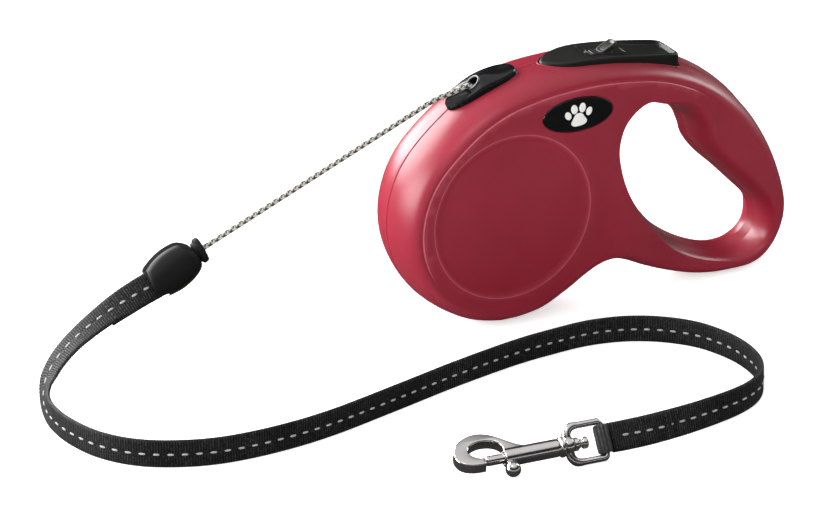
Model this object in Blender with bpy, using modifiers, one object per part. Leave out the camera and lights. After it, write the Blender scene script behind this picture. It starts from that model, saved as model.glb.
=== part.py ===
"""Retractable cord leash: two-part casing with a finger-hole handle, sprung cord spool, rocker
brake with a lock slider, cord with an end bobbin, stitched webbing and a swivelling bolt snap.

The origin is on the floor under the spool axle, on the casing's mid plane. +Z is up, -X is the
front where the cord leaves, +X the handle, and Y runs along the spool axle. Left is -Y.
Numbers are millimetres and degrees; the helpers turn them into metres.
"""

import math

import bmesh
import bpy
import numpy as np
from mathutils import Matrix, Vector
from mathutils.geometry import delaunay_2d_cdt

for old in list(bpy.data.objects):
    bpy.data.objects.remove(old, do_unlink=True)

# ---------------------------------------------------------------- driving dimensions
MM = 0.001
CASE_HALF = 16.5          # half thickness of the spool housing
WALL = 2.2                # casing wall
PART_Y = 1.0              # parting plane
GAP = 0.3                 # gap between pieces that touch
OVERSHOOT = 3.0           # how far the side recess cutters stand out of the casing
AXLE_Z = 43.3             # spool axle above the floor
AXLE_R = 3.0
DRUM_R = 31.0
CORD_R = 1.1
PIVOT = Vector((24.0, 0.0, 86.5))       # brake pivot
PIVOT_PIN_R = 1.5
EYELET = Vector((-8.7, 0.0, 88.9))      # centre of the eyelet the cord leaves through
BOBBIN = Vector((-111.5, 0.0, 47.2))    # centre of the bobbin's end on the cord's side
SNAP_HINGE = Vector((-18.6, -118.3, 6.2))   # centre of the swivel eye's bar
STRAP_W, STRAP_T = 10.0, 1.5

AXLE_XZ = (0.0, AXLE_Z)
PIVOT_XZ = (PIVOT.x, PIVOT.z)
AXLE_CENTRE = Vector((0, 0, AXLE_Z))
Y_AXIS = Vector((0, 1, 0))


# ---------------------------------------------------------------- collections and materials
def collection(name):
    made = bpy.data.collections.new(name)
    bpy.context.scene.collection.children.link(made)
    return made


PARTS = collection("retractable_leash")
CUTTERS = collection("cutters")


def material(name, rgb, roughness, metallic=0.0):
    made = bpy.data.materials.new(name)
    made.use_nodes = True
    inputs = made.node_tree.nodes["Principled BSDF"].inputs
    inputs["Base Color"].default_value = (*rgb, 1)
    inputs["Roughness"].default_value = roughness
    inputs["Metallic"].default_value = metallic
    return made


CRIMSON = material("casing_plastic", rgb=(0.28, 0.018, 0.045), roughness=0.38)
BLACK = material("black_plastic", rgb=(0.012, 0.013, 0.013), roughness=0.35)
GLOSS = material("badge_gloss", rgb=(0.01, 0.01, 0.01), roughness=0.1)
GREY = material("slider_plastic", rgb=(0.06, 0.06, 0.06), roughness=0.4)
SPOOL_PLASTIC = material("spool_plastic", rgb=(0.55, 0.55, 0.52), roughness=0.45)
STEEL = material("steel", rgb=(0.5, 0.5, 0.52), roughness=0.3, metallic=1.0)
SPRING = material("spring_steel", rgb=(0.3, 0.31, 0.33), roughness=0.35, metallic=1.0)
NICKEL = material("nickel", rgb=(0.7, 0.68, 0.66), roughness=0.15, metallic=1.0)
BRASS = material("brass", rgb=(0.7, 0.5, 0.2), roughness=0.3, metallic=1.0)
CORD = material("cord", rgb=(0.75, 0.72, 0.66), roughness=0.8)
WEBBING = material("webbing", rgb=(0.015, 0.015, 0.016), roughness=0.85)


# ---------------------------------------------------------------- directions and curves
def square_to(direction, axis):
    """Unit vector near direction and square to the unit axis."""
    return (direction - axis * direction.dot(axis)).normalized()


def frame_of(axis, side=None):
    """Rotation whose Z is axis and whose X is near side."""
    z = Vector(axis).normalized()
    if side is None:
        side = (1, 0, 0) if abs(z.x) < 0.9 else (0, 1, 0)
    x = square_to(Vector(side), z)
    return Matrix((x, z.cross(x), z)).transposed().to_4x4()


def placed(at, axis, side=None):
    """The frame of axis and side, moved to the point at."""
    return Matrix.Translation(Vector(at) * MM) @ frame_of(axis, side)


def along(table, x):
    """Piecewise linear value of a list of (x, value)."""
    xs, values = zip(*table)
    return float(np.interp(x, xs, values))


def clamp(amount):
    return min(1.0, max(0.0, amount))


def smooth(amount):
    amount = clamp(amount)
    return amount * amount * (3 - 2 * amount)


def oval(half_x, half_y, count, power=2.0, centre=(0.0, 0.0)):
    """Closed superellipse; power 2 is a plain ellipse."""
    points = []
    for i in range(count):
        angle = 2 * math.pi * i / count
        c, s = math.cos(angle), math.sin(angle)
        points.append((centre[0] + half_x * math.copysign(abs(c) ** (2 / power), c),
                       centre[1] + half_y * math.copysign(abs(s) ** (2 / power), s)))
    return points


def rectangle(x0, x1, y0, y1):
    return [(x0, y0), (x1, y0), (x1, y1), (x0, y1)]


def edge_normals(loop):
    """Unit normals of a closed 2D curve that point out of it."""
    count = len(loop)
    following = loop[1:] + loop[:1]
    area = 0.5 * sum(p[0] * q[1] - q[0] * p[1] for p, q in zip(loop, following))
    normals = []
    for i in range(count):
        tangent = (loop[(i + 1) % count] - loop[i - 1]).normalized()
        normal = Vector((tangent[1], -tangent[0]))
        normals.append(normal if area > 0 else -normal)
    return normals


# ---------------------------------------------------------------- objects
def empty(name, at):
    made = bpy.data.objects.new(name, None)
    made.location = Vector(at) * MM
    PARTS.objects.link(made)


def link_mesh(name, bm, mat, sharp_angle=None):
    """The bmesh as an object. Without a material it is a hidden helper for booleans."""
    bm.transform(Matrix.Scale(MM, 4))
    mesh = bpy.data.meshes.new(name)
    bm.to_mesh(mesh)
    bm.free()
    mesh.shade_smooth()
    if sharp_angle is not None:
        mesh.set_sharp_from_angle(angle=math.radians(sharp_angle))
    made = bpy.data.objects.new(name, mesh)
    if mat:
        mesh.materials.append(mat)
        PARTS.objects.link(made)
    else:
        CUTTERS.objects.link(made)
        made.hide_render = True
        made.display_type = "WIRE"
    return made


def closed_object(name, bm, mat):
    """A closed bmesh as an object, with its faces turned outwards."""
    bmesh.ops.recalc_face_normals(bm, faces=bm.faces)
    if bm.calc_volume(signed=True) < 0:
        bmesh.ops.reverse_faces(bm, faces=bm.faces)
    return link_mesh(name, bm, mat, sharp_angle=35)


def temporary(name, data, frame):
    made = bpy.data.objects.new(name, data)
    PARTS.objects.link(made)
    made.matrix_world = frame
    return made


def settled(temp, name, mat):
    """Replaces a temporary object by its evaluated mesh, with loose seams and caps welded."""
    bpy.context.view_layer.update()
    depsgraph = bpy.context.evaluated_depsgraph_get()
    mesh = bpy.data.meshes.new_from_object(temp.evaluated_get(depsgraph))
    bm = bmesh.new()
    bm.from_mesh(mesh)
    bm.transform(temp.matrix_world)
    bm.transform(Matrix.Scale(1 / MM, 4))
    bmesh.ops.remove_doubles(bm, verts=bm.verts, dist=0.001)
    bpy.data.objects.remove(temp, do_unlink=True)
    bpy.data.meshes.remove(mesh)
    return closed_object(name, bm, mat)


# ---------------------------------------------------------------- solids
def turned(name, profile, at, axis, steps, mat=None):
    """The (radius, height) profile turned round the axis through at.

    A profile that starts and ends on the axis is solid; any other is closed into a ring.
    """
    points = list(profile)
    count = len(points)
    solid = points[0][0] == 0 and points[-1][0] == 0
    area = sum(p[0] * q[1] - q[0] * p[1] for p, q in zip(points, points[1:] + points[:1]))
    if area > 0:
        points.reverse()
    edges = [(i, i + 1) for i in range(count - 1)]
    if not solid:
        edges.append((count - 1, 0))
    mesh = bpy.data.meshes.new(name)
    mesh.from_pydata([(radius * MM, 0, height * MM) for radius, height in points], edges, [])
    temp = temporary(name, mesh, placed(at, axis))
    screw = temp.modifiers.new("turn", "SCREW")
    screw.axis = "Z"
    screw.steps = screw.render_steps = steps
    screw.use_merge_vertices = True
    screw.merge_threshold = 0.00001
    return settled(temp, name, mat)


def rod(name, radius, start, end, steps, mat=None, bore=0):
    """Cylinder from start to end, or a ring when it has a bore."""
    start, end = Vector(start), Vector(end)
    length = (end - start).length
    profile = [(bore, length), (radius, length), (radius, 0), (bore, 0)]
    return turned(name, profile, start, end - start, steps, mat)


def rod_y(name, radius, xz, ys, steps, mat=None, bore=0):
    """Rod or ring along Y at (X, Z), between the two values of ys."""
    (x, z), (y0, y1) = xz, ys
    return rod(name, radius, (x, y0, z), (x, y1, z), steps, mat, bore)


def poly_curve(name, dimensions, loops, cyclic):
    """Curve data with a straight-segment spline for each loop of 3D points in metres."""
    data = bpy.data.curves.new(name, "CURVE")
    data.dimensions = dimensions
    for loop in loops:
        poly = data.splines.new("POLY")
        poly.points.add(len(loop) - 1)
        for point, place in zip(poly.points, loop):
            point.co = (*place, 1)
        poly.use_cyclic_u = cyclic
    return data


def plate(name, loops, at, normal, side, half, mat=None):
    """2D loops in the plane through at, X along side, extruded by half each way along normal."""
    flat = [[(x * MM, y * MM, 0) for x, y in loop] for loop in loops]
    data = poly_curve(name, "2D", flat, True)
    data.fill_mode = "BOTH"
    data.extrude = half * MM
    return settled(temporary(name, data, placed(at, normal, side)), name, mat)


def xz_plate(name, loops, y0, y1, mat=None):
    """A plate whose loops are (X, Z), from y0 to y1."""
    return plate(name, loops, (0, (y0 + y1) / 2, 0), -Y_AXIS, (1, 0, 0), abs(y1 - y0) / 2, mat)


def tube(name, points, radius, mat=None, closed=False, resolution=2):
    data = poly_curve(name, "3D", [[Vector(point) * MM for point in points]], closed)
    data.bevel_depth = radius * MM
    data.bevel_resolution = resolution
    data.use_fill_caps = not closed
    return settled(temporary(name, data, Matrix.Identity(4)), name, mat)


def coil(name, start, end, radius, wire_radius, turns):
    """A compression spring from start to end."""
    start, end = Vector(start), Vector(end)
    rotation = frame_of(end - start).to_3x3()
    count = int(turns * 8)
    length = (end - start).length
    points = []
    for i in range(count + 1):
        share = i / count
        angle = 2 * math.pi * turns * share
        offset = Vector((radius * math.cos(angle), radius * math.sin(angle), length * share))
        points.append(start + rotation @ offset)
    return tube(name, points, wire_radius, SPRING, resolution=1)


def block(name, at, size, frame):
    """A box helper of the given size, centred at a point."""
    bm = bmesh.new()
    bmesh.ops.create_cube(bm, size=1)
    bm.transform(Matrix.Diagonal((*size, 1)))
    bm.transform(Matrix.Translation(Vector(at)) @ frame)
    return closed_object(name, bm, None)


def bridge(bm, rows):
    """Faces between successive closed rows of vertices."""
    for row, following in zip(rows, rows[1:]):
        for i in range(len(row)):
            j = (i + 1) % len(row)
            bm.faces.new((row[i], row[j], following[j], following[i]))


# ---------------------------------------------------------------- modifiers
# EXACT leaves open slivers where a post meets the curved shell at a grazing angle
MANIFOLD_PIECES = ("casing", "snap_body")


def combine(target, tools, operation):
    for tool in tools:
        boolean = target.modifiers.new(f"{operation.lower()}_{tool.name}", "BOOLEAN")
        boolean.operation = operation
        boolean.object = tool
        boolean.solver = "MANIFOLD" if target.name.startswith(MANIFOLD_PIECES) else "EXACT"


def cut(target, *tools):
    combine(target, tools, "DIFFERENCE")


def join(target, *tools):
    combine(target, tools, "UNION")


def bevel(target, width, segments):
    modifier = target.modifiers.new("bevel", "BEVEL")
    modifier.width = width * MM
    modifier.segments = segments
    modifier.limit_method = "ANGLE"
    modifier.angle_limit = math.radians(50)


def solidify(target, thickness, offset):
    modifier = target.modifiers.new("wall" if offset else "strip", "SOLIDIFY")
    modifier.thickness = thickness * MM
    modifier.offset = offset
    return modifier


# ---------------------------------------------------------------- casing surface
# casing outline (X, Z), from the foot under the axle back along the handle and over the top
OUTLINE = [Vector(point) for point in [
    (3, 0), (14, 1.9), (24.6, 7.1), (32, 11.6), (37.5, 14.3), (43, 15.2), (49, 13.6), (58.6, 9.0),
    (68.6, 4.8), (79, 1.5), (89, 0), (98, 0), (105, 0.8), (110.5, 3.8), (114.8, 9.0), (117.6, 16),
    (118.4, 24), (117.1, 33), (114, 42.8), (109.5, 52.2), (103.6, 61.3), (96.2, 69.7), (87.6, 77),
    (78, 83), (66, 88.1), (52, 91.5), (36, 93.4), (20, 93.0), (8, 91.4), (-4, 88.3), (-14, 83.4),
    (-22.5, 77.2), (-31.3, 68.8), (-36.9, 60.5), (-40.3, 51), (-41.4, 41.4), (-40.2, 32),
    (-36.6, 22.6), (-31, 14.2), (-23, 7.4), (-13.6, 2.4), (-3, 0)]]
# finger hole outline (X, Z)
HOLE = [Vector(point) for point in [
    (54.5, 75.2), (62, 73.4), (70, 70.0), (75.2, 66), (78, 60.5), (80.2, 54.5), (85.2, 47.8),
    (93.3, 40.1), (101.2, 32.2), (107, 26), (109.8, 19.5), (108.9, 12), (103.6, 7.6), (96, 6.8),
    (86, 9.2), (76, 13.8), (67, 20.2), (59.5, 28.3), (53, 36.6), (48.5, 45), (45.7, 54),
    (44.9, 62), (47.5, 70)]]
OUTLINE_NORMALS = edge_normals(OUTLINE)
HOLE_NORMALS = edge_normals(HOLE)
# shares of the half thickness at which the rounded rim has a row of points
RIM_LEVELS = (1.0, 0.96, 0.82, 0.55, 0.18)


def half_at(x, z):
    """Half thickness of the casing: full over the spool, less along the handle and least in
    the lower strut."""
    base = CASE_HALF - 3.0 * smooth((x - 44) / 56)
    strut = clamp((x - 46) / 26) * clamp((30 - z) / 22)
    return base - 2.4 * smooth(strut)


def narrowed(wanted, x, z, other_edge):
    """The wanted inset, softly limited by the distance to the other edge."""
    nearest = min((Vector((x, z)) - point).length for point in other_edge)
    return (wanted**-4 + (0.46 * nearest)**-4) ** -0.25


def outline_inset(x, z):
    """How far the rim rounds in from the outline to the flat side."""
    wanted = 5.5 + 1.6 * smooth((x - 50) / 40) - 1.4 * smooth((x - 46) / 24) * smooth((22 - z) / 16)
    return narrowed(wanted, x, z, HOLE)


def hole_inset(x, z, normal):
    """How far the hole's edge rounds into the material; the grip side bulges most."""
    grip = smooth((normal[0] * 0.8 + normal[1] * 0.6 + 0.1) / 0.9)
    wanted = 2.4 + 4.2 * grip * smooth((x - 60) / 15) + 0.8 * smooth((30 - z) / 20)
    return narrowed(wanted, x, z, OUTLINE)


def rim_rows(edge, shifts, side, y_part):
    """Rows of points from the flat side to the parting plane; shifts lead to the flat side."""
    rows = []
    for level in RIM_LEVELS:
        share = 0.0 if level < 0.2 else 1 - math.sqrt(1 - level * level)
        row = []
        for point, shift in zip(edge, shifts):
            x, z = point + shift * share
            row.append(Vector((x, side * half_at(*point) * level, z)))
        rows.append(row)
    rows.append([Vector((x, y_part, z)) for x, z in edge])
    return rows


# ---------------------------------------------------------------- casing shells
def inside(point, loop):
    """Whether a 2D point is inside a closed loop."""
    odd = False
    for p, q in zip(loop, loop[1:] + loop[:1]):
        if (p[1] > point[1]) != (q[1] > point[1]):
            if point[0] < p[0] + (point[1] - p[1]) * (q[0] - p[0]) / (q[1] - p[1]):
                odd = not odd
    return odd


def flat_fill(bm, outer, hole):
    """Fills the flat side between the outline's row and the finger hole's row."""
    verts = list(outer) + list(hole)
    flat = [Vector((vert.co.x, vert.co.z)) for vert in verts]
    n, m = len(outer), len(hole)
    edges = [(i, (i + 1) % n) for i in range(n)]
    edges += [(n + i, n + (i + 1) % m) for i in range(m)]
    _, _, triangles, origins, _, _ = delaunay_2d_cdt(flat, edges, [], 0, 1e-7)
    for triangle in triangles:
        corners = [origins[i][0] for i in triangle]
        centre = sum((flat[i] for i in corners), Vector((0, 0))) / 3
        if inside(centre, flat[:n]) and not inside(centre, flat[n:]):
            bm.faces.new([verts[i] for i in corners])


def casing_shell(name, side, y_part):
    outline_shifts = [-normal * outline_inset(*point)
                      for point, normal in zip(OUTLINE, OUTLINE_NORMALS)]
    hole_shifts = [normal * hole_inset(*point, normal)
                   for point, normal in zip(HOLE, HOLE_NORMALS)]
    bm = bmesh.new()
    flat_rows = []
    for edge, shifts in ((OUTLINE, outline_shifts), (HOLE, hole_shifts)):
        rows = [[bm.verts.new(point) for point in row]
                for row in rim_rows(edge, shifts, side, y_part)]
        bridge(bm, rows)
        flat_rows.append(rows[0])
    flat_fill(bm, *flat_rows)
    bmesh.ops.recalc_face_normals(bm, faces=bm.faces)
    # the open shell has to face away from the casing's middle, so that the wall grows inwards
    outermost = max(bm.faces, key=lambda face: side * face.calc_center_median().y)
    if outermost.normal.y * side < 0:
        bmesh.ops.reverse_faces(bm, faces=bm.faces)
    shell = link_mesh(name, bm, CRIMSON, sharp_angle=40)
    wall = solidify(shell, WALL, -1)
    wall.use_even_offset = True
    wall.use_rim = True
    return shell


# ---------------------------------------------------------------- casing bosses and openings
SCREWS = [(14.4, 86.4), (42.0, 24.6), (88.2, 66.4), (106.6, 36.4)]      # (X, Z)
SCREW_TIP_Y = -8.3
SCREW_SEAT_DEPTH = 2.6    # depth of the screw head's bore below the casing's side
SCREW_HEAD_H = 1.6
LABEL_R, LABEL_DEPTH = 31.0, 0.5    # round recess on each side
BADGE_XZ = (25.4, 78.3)
BADGE_POCKET = (14.2, 6.5)          # half length and half height
BADGE_POCKET_DEPTH = 0.9
BADGE_PROUD = 0.3

# cord guide's oval in the top of the casing
GUIDE_CENTRE = Vector((-4.0, 0.0, 87.3))
GUIDE_ALONG = Vector((0.942, 0.0, 0.336))
GUIDE_NORMAL = Vector((-GUIDE_ALONG.z, 0.0, GUIDE_ALONG.x))
GUIDE_HALF_L, GUIDE_HALF_W = 14.2, 7.2
GUIDE_POINTS = 24


def guide_oval(half_length, half_width):
    return oval(half_length, half_width, GUIDE_POINTS, power=2.2)


# one half of the button's outline from above: (X, distance from the mid plane)
BUTTON_PLAN = [
    (18.6, 0.0), (20.4, 3.2), (23.4, 5.7), (27.2, 7.4), (32, 8.4), (40, 8.8), (52, 8.9),
    (62, 8.7), (68, 8.2), (70.8, 6.6), (72.0, 3.4)]


def button_plan(growth):
    """The button's outline from above as a closed loop, grown by an amount."""
    loop = [Vector((x, -y)) for x, y in BUTTON_PLAN]
    loop += [Vector((x, y)) for x, y in reversed(BUTTON_PLAN[1:])]
    return [point + normal * growth for point, normal in zip(loop, edge_normals(loop))]


def top_openings():
    """Cutters for the button's slot and the guide's oval, shared by both shells."""
    slot = plate("cut_button_slot", [button_plan(0.4)], (0, 0, 88.5), (0, 0, 1), (1, 0, 0), 12.0)
    guide_loop = guide_oval(GUIDE_HALF_L + GAP, GUIDE_HALF_W + GAP)
    guide_hole = plate("cut_guide_hole", [guide_loop], GUIDE_CENTRE, GUIDE_NORMAL, GUIDE_ALONG, 7.0)
    return slot, guide_hole


def add_boss(shell, tag, label, xz, boss, bore, steps):
    """A round boss inside the shell with a blind bore; boss and bore are (radius, y0, y1)."""
    join(shell, rod_y(f"add_{label}_boss_{tag}", boss[0], xz, boss[1:], steps))
    cut(shell, rod_y(f"cut_{label}_bore_{tag}", bore[0], xz, bore[1:], steps))


def add_screw_post(shell, side, tag, k, xz, inner):
    """A post from the parting plane to the side: a clear way on the right, a core on the left."""
    deep = half_at(*xz)
    join(shell, rod_y(f"add_post_{tag}_{k}", 2.9, xz, (inner, side * (deep - 0.9)), 12))
    if side > 0:
        head_ys = (deep - SCREW_SEAT_DEPTH, deep + 2)
        cut(shell,
            rod_y(f"cut_screw_way_{k}", 1.6, xz, (inner - 2, deep + 2), 12),
            rod_y(f"cut_screw_head_{k}", 2.5, xz, head_ys, 12))
    else:
        cut(shell, rod_y(f"cut_screw_core_{k}", 1.45, xz, (inner + 2, inner - 10.0), 12))


def casing_half(side, openings):
    tag = "left" if side < 0 else "right"
    inner = PART_Y + (GAP / 2) * side
    outer = side * (CASE_HALF + OVERSHOOT)
    shell = casing_shell(f"casing_{tag}", side, inner)
    cut(shell, *openings)
    add_boss(shell, tag, "axle", AXLE_XZ, steps=20,
             boss=(6.0, side * 12.9, side * 15.4), bore=(AXLE_R + GAP, side * 12.0, side * 14.1))
    add_boss(shell, tag, "pin", PIVOT_XZ, steps=12,
             boss=(3.0, side * 8.4, side * 15.0), bore=(PIVOT_PIN_R + GAP, side * 8.0, side * 12.4))
    for k, xz in enumerate(SCREWS, 1):
        add_screw_post(shell, side, tag, k, xz, inner)
    label_ys = (side * (CASE_HALF - LABEL_DEPTH), outer)
    cut(shell, rod_y(f"cut_label_{tag}", LABEL_R, AXLE_XZ, label_ys, 44))
    pocket_loop = oval(*BADGE_POCKET, 28, centre=BADGE_XZ)
    pocket_floor = side * (CASE_HALF - BADGE_POCKET_DEPTH)
    cut(shell, xz_plate(f"cut_badge_{tag}", [pocket_loop], pocket_floor, outer))


def badge(side):
    half_l, half_h = BADGE_POCKET
    loop = oval(half_l - GAP, half_h - GAP, 28, centre=BADGE_XZ)
    xz_plate("badge_left" if side < 0 else "badge_right", [loop],
             side * (CASE_HALF - BADGE_POCKET_DEPTH + GAP), side * (CASE_HALF + BADGE_PROUD), GLOSS)


def casing_screws():
    for k, (x, z) in enumerate(SCREWS, 1):
        seat = half_at(x, z) - SCREW_SEAT_DEPTH + GAP - SCREW_TIP_Y
        top = seat + SCREW_HEAD_H
        profile = [(0, 0), (1.15, 0), (1.15, seat), (2.2, seat), (2.2, top), (0, top)]
        turned(f"casing_screw_{k}", profile, (x, SCREW_TIP_Y, z), Y_AXIS, 12, STEEL)


# ---------------------------------------------------------------- cord guide and eyelet
CORD_IN = Vector((0.985, 0.0, 0.17)).normalized()      # the cord's way in through the eyelet
# cord's path inside the casing (X, Y, Z), from the eyelet to the spool
FEED = [(-5.6, 0, 88.9), (-2.8, -0.2, 87.8), (-0.2, -0.5, 85.8), (3.4, -1.1, 82.4),
        (8.0, -2.6, 77.4), (13.6, -3.9, 71.6), (20.4, -5.0, 64.4)]
# guide rows from the underside over the rim to the top: (share of the oval, drop below the top)
GUIDE_ROWS = [(0.5, 3.4), (1.0, 3.4), (1.0, 0), (0.94, 0), (0.75, 0), (0.5, 0), (0.25, 0)]


def distance_along_guide(point):
    """Distance of an (X, Z) point along the guide from its centre."""
    return ((point[0] - GUIDE_CENTRE.x) * GUIDE_ALONG.x
            + (point[1] - GUIDE_CENTRE.z) * GUIDE_ALONG.z)


def casing_top(distance, y):
    """Point and normal of the casing's top surface, at a distance along the guide and y across."""
    count = len(OUTLINE)
    for i in range(count):
        j = (i + 1) % count
        p, q = OUTLINE[i], OUTLINE[j]
        if min(p[1], q[1]) < 70:
            continue
        start, end = distance_along_guide(p), distance_along_guide(q)
        if min(start, end) <= distance <= max(start, end) and abs(end - start) > 1e-6:
            share = (distance - start) / (end - start)
            edge = p.lerp(q, share)
            normal = OUTLINE_NORMALS[i].lerp(OUTLINE_NORMALS[j], share).normalized()
    fall = 1 - math.sqrt(max(0.0, 1 - (y / CASE_HALF) ** 2))
    x, z = edge - normal * (outline_inset(*edge) * fall)
    return Vector((x, y, z)), Vector((normal[0], 0, normal[1]))


def guide_row(share, drop):
    """One oval row of the guide, either below the casing's top or raised over it with a hump."""
    row = []
    for distance, y in guide_oval(GUIDE_HALF_L * share, GUIDE_HALF_W * share):
        point, normal = casing_top(distance, y)
        if drop:
            row.append(point - GUIDE_NORMAL * drop)
        else:
            hump = 2.7 * math.exp(-((point.x + 4.2) / 5.2) ** 2 - (y / 3.9) ** 2)
            row.append(point + normal * (0.35 + 0.35 * (1 - share**4) + hump))
    return row


def cord_guide():
    bm = bmesh.new()
    rows = [[bm.verts.new(point) for point in guide_row(*entry)] for entry in GUIDE_ROWS]
    bridge(bm, rows)
    for row in (rows[0], rows[-1]):
        middle = bm.verts.new(sum((vert.co for vert in row), Vector()) / GUIDE_POINTS)
        for i in range(GUIDE_POINTS):
            bm.faces.new((row[i], row[(i + 1) % GUIDE_POINTS], middle))
    guide = closed_object("cord_guide", bm, BLACK)
    cut(guide,
        tube("cut_cord_way", [EYELET - CORD_IN * 1.2, *FEED[:5]], 1.75),
        rod("cut_cord_dish", 3.0, EYELET - CORD_IN * 14, EYELET + CORD_IN * 1.1, 24))


def cord_eyelet():
    profile = [(1.6, 0.4), (1.9, 0.9), (2.4, 0.9), (2.7, 0.5), (2.7, -0.8), (1.6, -0.8)]
    turned("cord_eyelet", profile, EYELET, -CORD_IN, 28, NICKEL)


# ---------------------------------------------------------------- spool
SPOOL_BORE = 3.4          # bore of the pieces round the axle
TOOTH_TIP, TOOTH_ROOT, TEETH = 35.5, 33.3, 24
TOOTH_GAP_ANGLE = 36.3    # one tooth gap is centred here, where the pawl comes down
# outline of a tooth: (degrees from its middle, radius)
TOOTH = [(-5.0, TOOTH_ROOT), (-2.5, TOOTH_TIP), (2.5, TOOTH_TIP), (5.0, TOOTH_ROOT)]
# drum with its cord channel and spring cup: (radius, Y)
DRUM_PROFILE = [
    (SPOOL_BORE, -11.9), (DRUM_R, -11.9), (DRUM_R, -10.4), (19, -10.4), (19, 0.2), (DRUM_R, 0.2),
    (DRUM_R, 2.2), (28.4, 2.2), (28.4, 10.6), (26.8, 10.6), (26.8, 2.6), (SPOOL_BORE, 2.6)]
# wound cord as one bulging ring: (radius, Y)
WINDINGS_PROFILE = [
    (19.3, -10.1), (26.6, -10.1), (27.8, -9.1), (28.2, -7.0), (27.8, -5.2), (28.1, -3.2),
    (27.6, -1.1), (26.6, -0.1), (19.3, -0.1)]
# rings round the axle: (name, outer radius, bore, Y range, steps, material)
AXLE_RINGS = [
    ("axle_washer_left", 6.0, SPOOL_BORE, (-12.7, -12.2), 20, STEEL),
    ("axle_washer_right", 6.0, SPOOL_BORE, (12.15, 12.65), 20, STEEL),
    ("spring_arbor", 6.1, SPOOL_BORE, (2.9, 11.85), 20, STEEL),
    ("spring_cover", 28.4, 6.5, (10.9, 11.8), 28, SPOOL_PLASTIC)]


def spool():
    rod_y("spool_axle", AXLE_R, AXLE_XZ, (-13.7, 13.7), 24, STEEL)
    for name, radius, bore, ys, steps, mat in AXLE_RINGS:
        rod_y(name, radius, AXLE_XZ, ys, steps, mat, bore)
    turned("spool_drum", DRUM_PROFILE, AXLE_CENTRE, Y_AXIS, 28, SPOOL_PLASTIC)
    turned("cord_windings", WINDINGS_PROFILE, AXLE_CENTRE, Y_AXIS, 28, CORD)


def ratchet_ring():
    """Toothed ring round the drum."""
    pitch = 2 * math.pi / TEETH
    teeth = []
    for k in range(TEETH):
        middle = math.radians(TOOTH_GAP_ANGLE) + pitch * (k + 0.5)
        for turn, radius in TOOTH:
            angle = middle + math.radians(turn)
            teeth.append((radius * math.cos(angle), AXLE_Z + radius * math.sin(angle)))
    bore = oval(DRUM_R + GAP, DRUM_R + GAP, 36, centre=AXLE_XZ)
    xz_plate("ratchet_ring", [teeth, bore], 0.0, 2.4, STEEL)


def mainspring():
    """Clock spring: a strip wound from the arbor out to the drum's cup."""
    turns, steps_per_turn = 4.5, 16
    inner_r, outer_r = 7.0, 25.9
    count = int(turns * steps_per_turn)
    bm = bmesh.new()
    rows = []
    for i in range(count + 1):
        angle = 2 * math.pi * i / steps_per_turn
        radius = inner_r + (outer_r - inner_r) * (i / count) ** 1.15
        x, z = radius * math.cos(angle), AXLE_Z + radius * math.sin(angle)
        rows.append([bm.verts.new((x, y, z)) for y in (2.95, 10.5)])
    for (near, far), (next_near, next_far) in zip(rows, rows[1:]):
        bm.faces.new((near, next_near, next_far, far))
    solidify(link_mesh("mainspring", bm, SPRING), 0.5, 0)


# ---------------------------------------------------------------- brake
# heights of the button's top and of its lower edge: (X, Z)
BUTTON_TOP = [(18.0, 93.2), (23, 94.2), (34, 94.7), (46, 93.9), (60, 92.2), (70, 90.7), (76, 89.6)]
BUTTON_SKIRT = [(18.0, 91.2), (24, 90.4), (30, 88.6), (40, 86.2), (60, 83.2), (76, 80.8)]
SLIDE_FALL = 0.067        # fall of the slider's slot for each unit towards +X
SLIDE_DIR = Vector((1.0, 0.0, -SLIDE_FALL)).normalized()
SLIDER_X = 45.2
SLIDER_SLOT = Vector((SLIDER_X, 0, along(BUTTON_TOP, SLIDER_X)))
# lock slider's flat foot and raised tab: (along the slot, up)
SLIDER_LOOP = [(-4.4, -1.0), (4.4, -1.0), (4.4, 0.6), (5.4, 2.8), (4.9, 3.4), (-1.4, 1.3),
               (-2.4, 0.5), (-4.4, 0.4)]
# brake lever with its pawl pointing down: (X, Z)
LEVER_LOOP = [
    (22.6, 85.6), (25.8, 85.7), (30.4, 85.9), (33.0, 84.4), (32.2, 71.0), (29.4, 65.0),
    (30.0, 64.0), (31.9, 63.4), (38.4, 71.5), (40.2, 84.6), (43, 86.3), (56, 85.9), (66, 83.6),
    (68, 84.4), (68, 86.9), (62, 88.4), (46, 90.6), (30, 90.7), (23.0, 90.2)]


def button_solid(name, inset=0.0, top_drop=0.0, skirt_drop=0.0, mat=None):
    """The block between the button's skirt line and its top line."""
    loop = button_plan(-inset)
    bm = bmesh.new()
    rows = [[bm.verts.new((x, y, along(line, x) - drop)) for x, y in loop]
            for line, drop in ((BUTTON_SKIRT, skirt_drop), (BUTTON_TOP, top_drop))]
    bridge(bm, rows)
    # caps: each point is joined with its mirror image across the mid plane
    half = len(BUTTON_PLAN)
    for row in rows:
        left, right = row[1:half], row[:half - 1:-1]
        bm.faces.new((row[0], left[0], right[0]))
        for i in range(half - 2):
            bm.faces.new((left[i], left[i + 1], right[i + 1], right[i]))
    return closed_object(name, bm, mat)


def brake_button():
    button = button_solid("brake_button", mat=BLACK)
    bevel(button, 0.9, 2)
    tilt = frame_of((SLIDE_FALL, 0, 1.0), SLIDE_DIR)
    slot_at = SLIDER_SLOT + Vector((0, 0, 0.2))
    cut(button,
        button_solid("cut_button_cavity", inset=1.6, top_drop=2.7, skirt_drop=4.0),
        block("cut_slider_slot", slot_at, (14.0, 5.8, 3.0), tilt))


def lock_slider():
    at = SLIDER_SLOT - SLIDE_DIR * 2.0
    bevel(plate("lock_slider", [SLIDER_LOOP], at, -Y_AXIS, SLIDE_DIR, 2.5, GREY), 0.25, 1)


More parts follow.
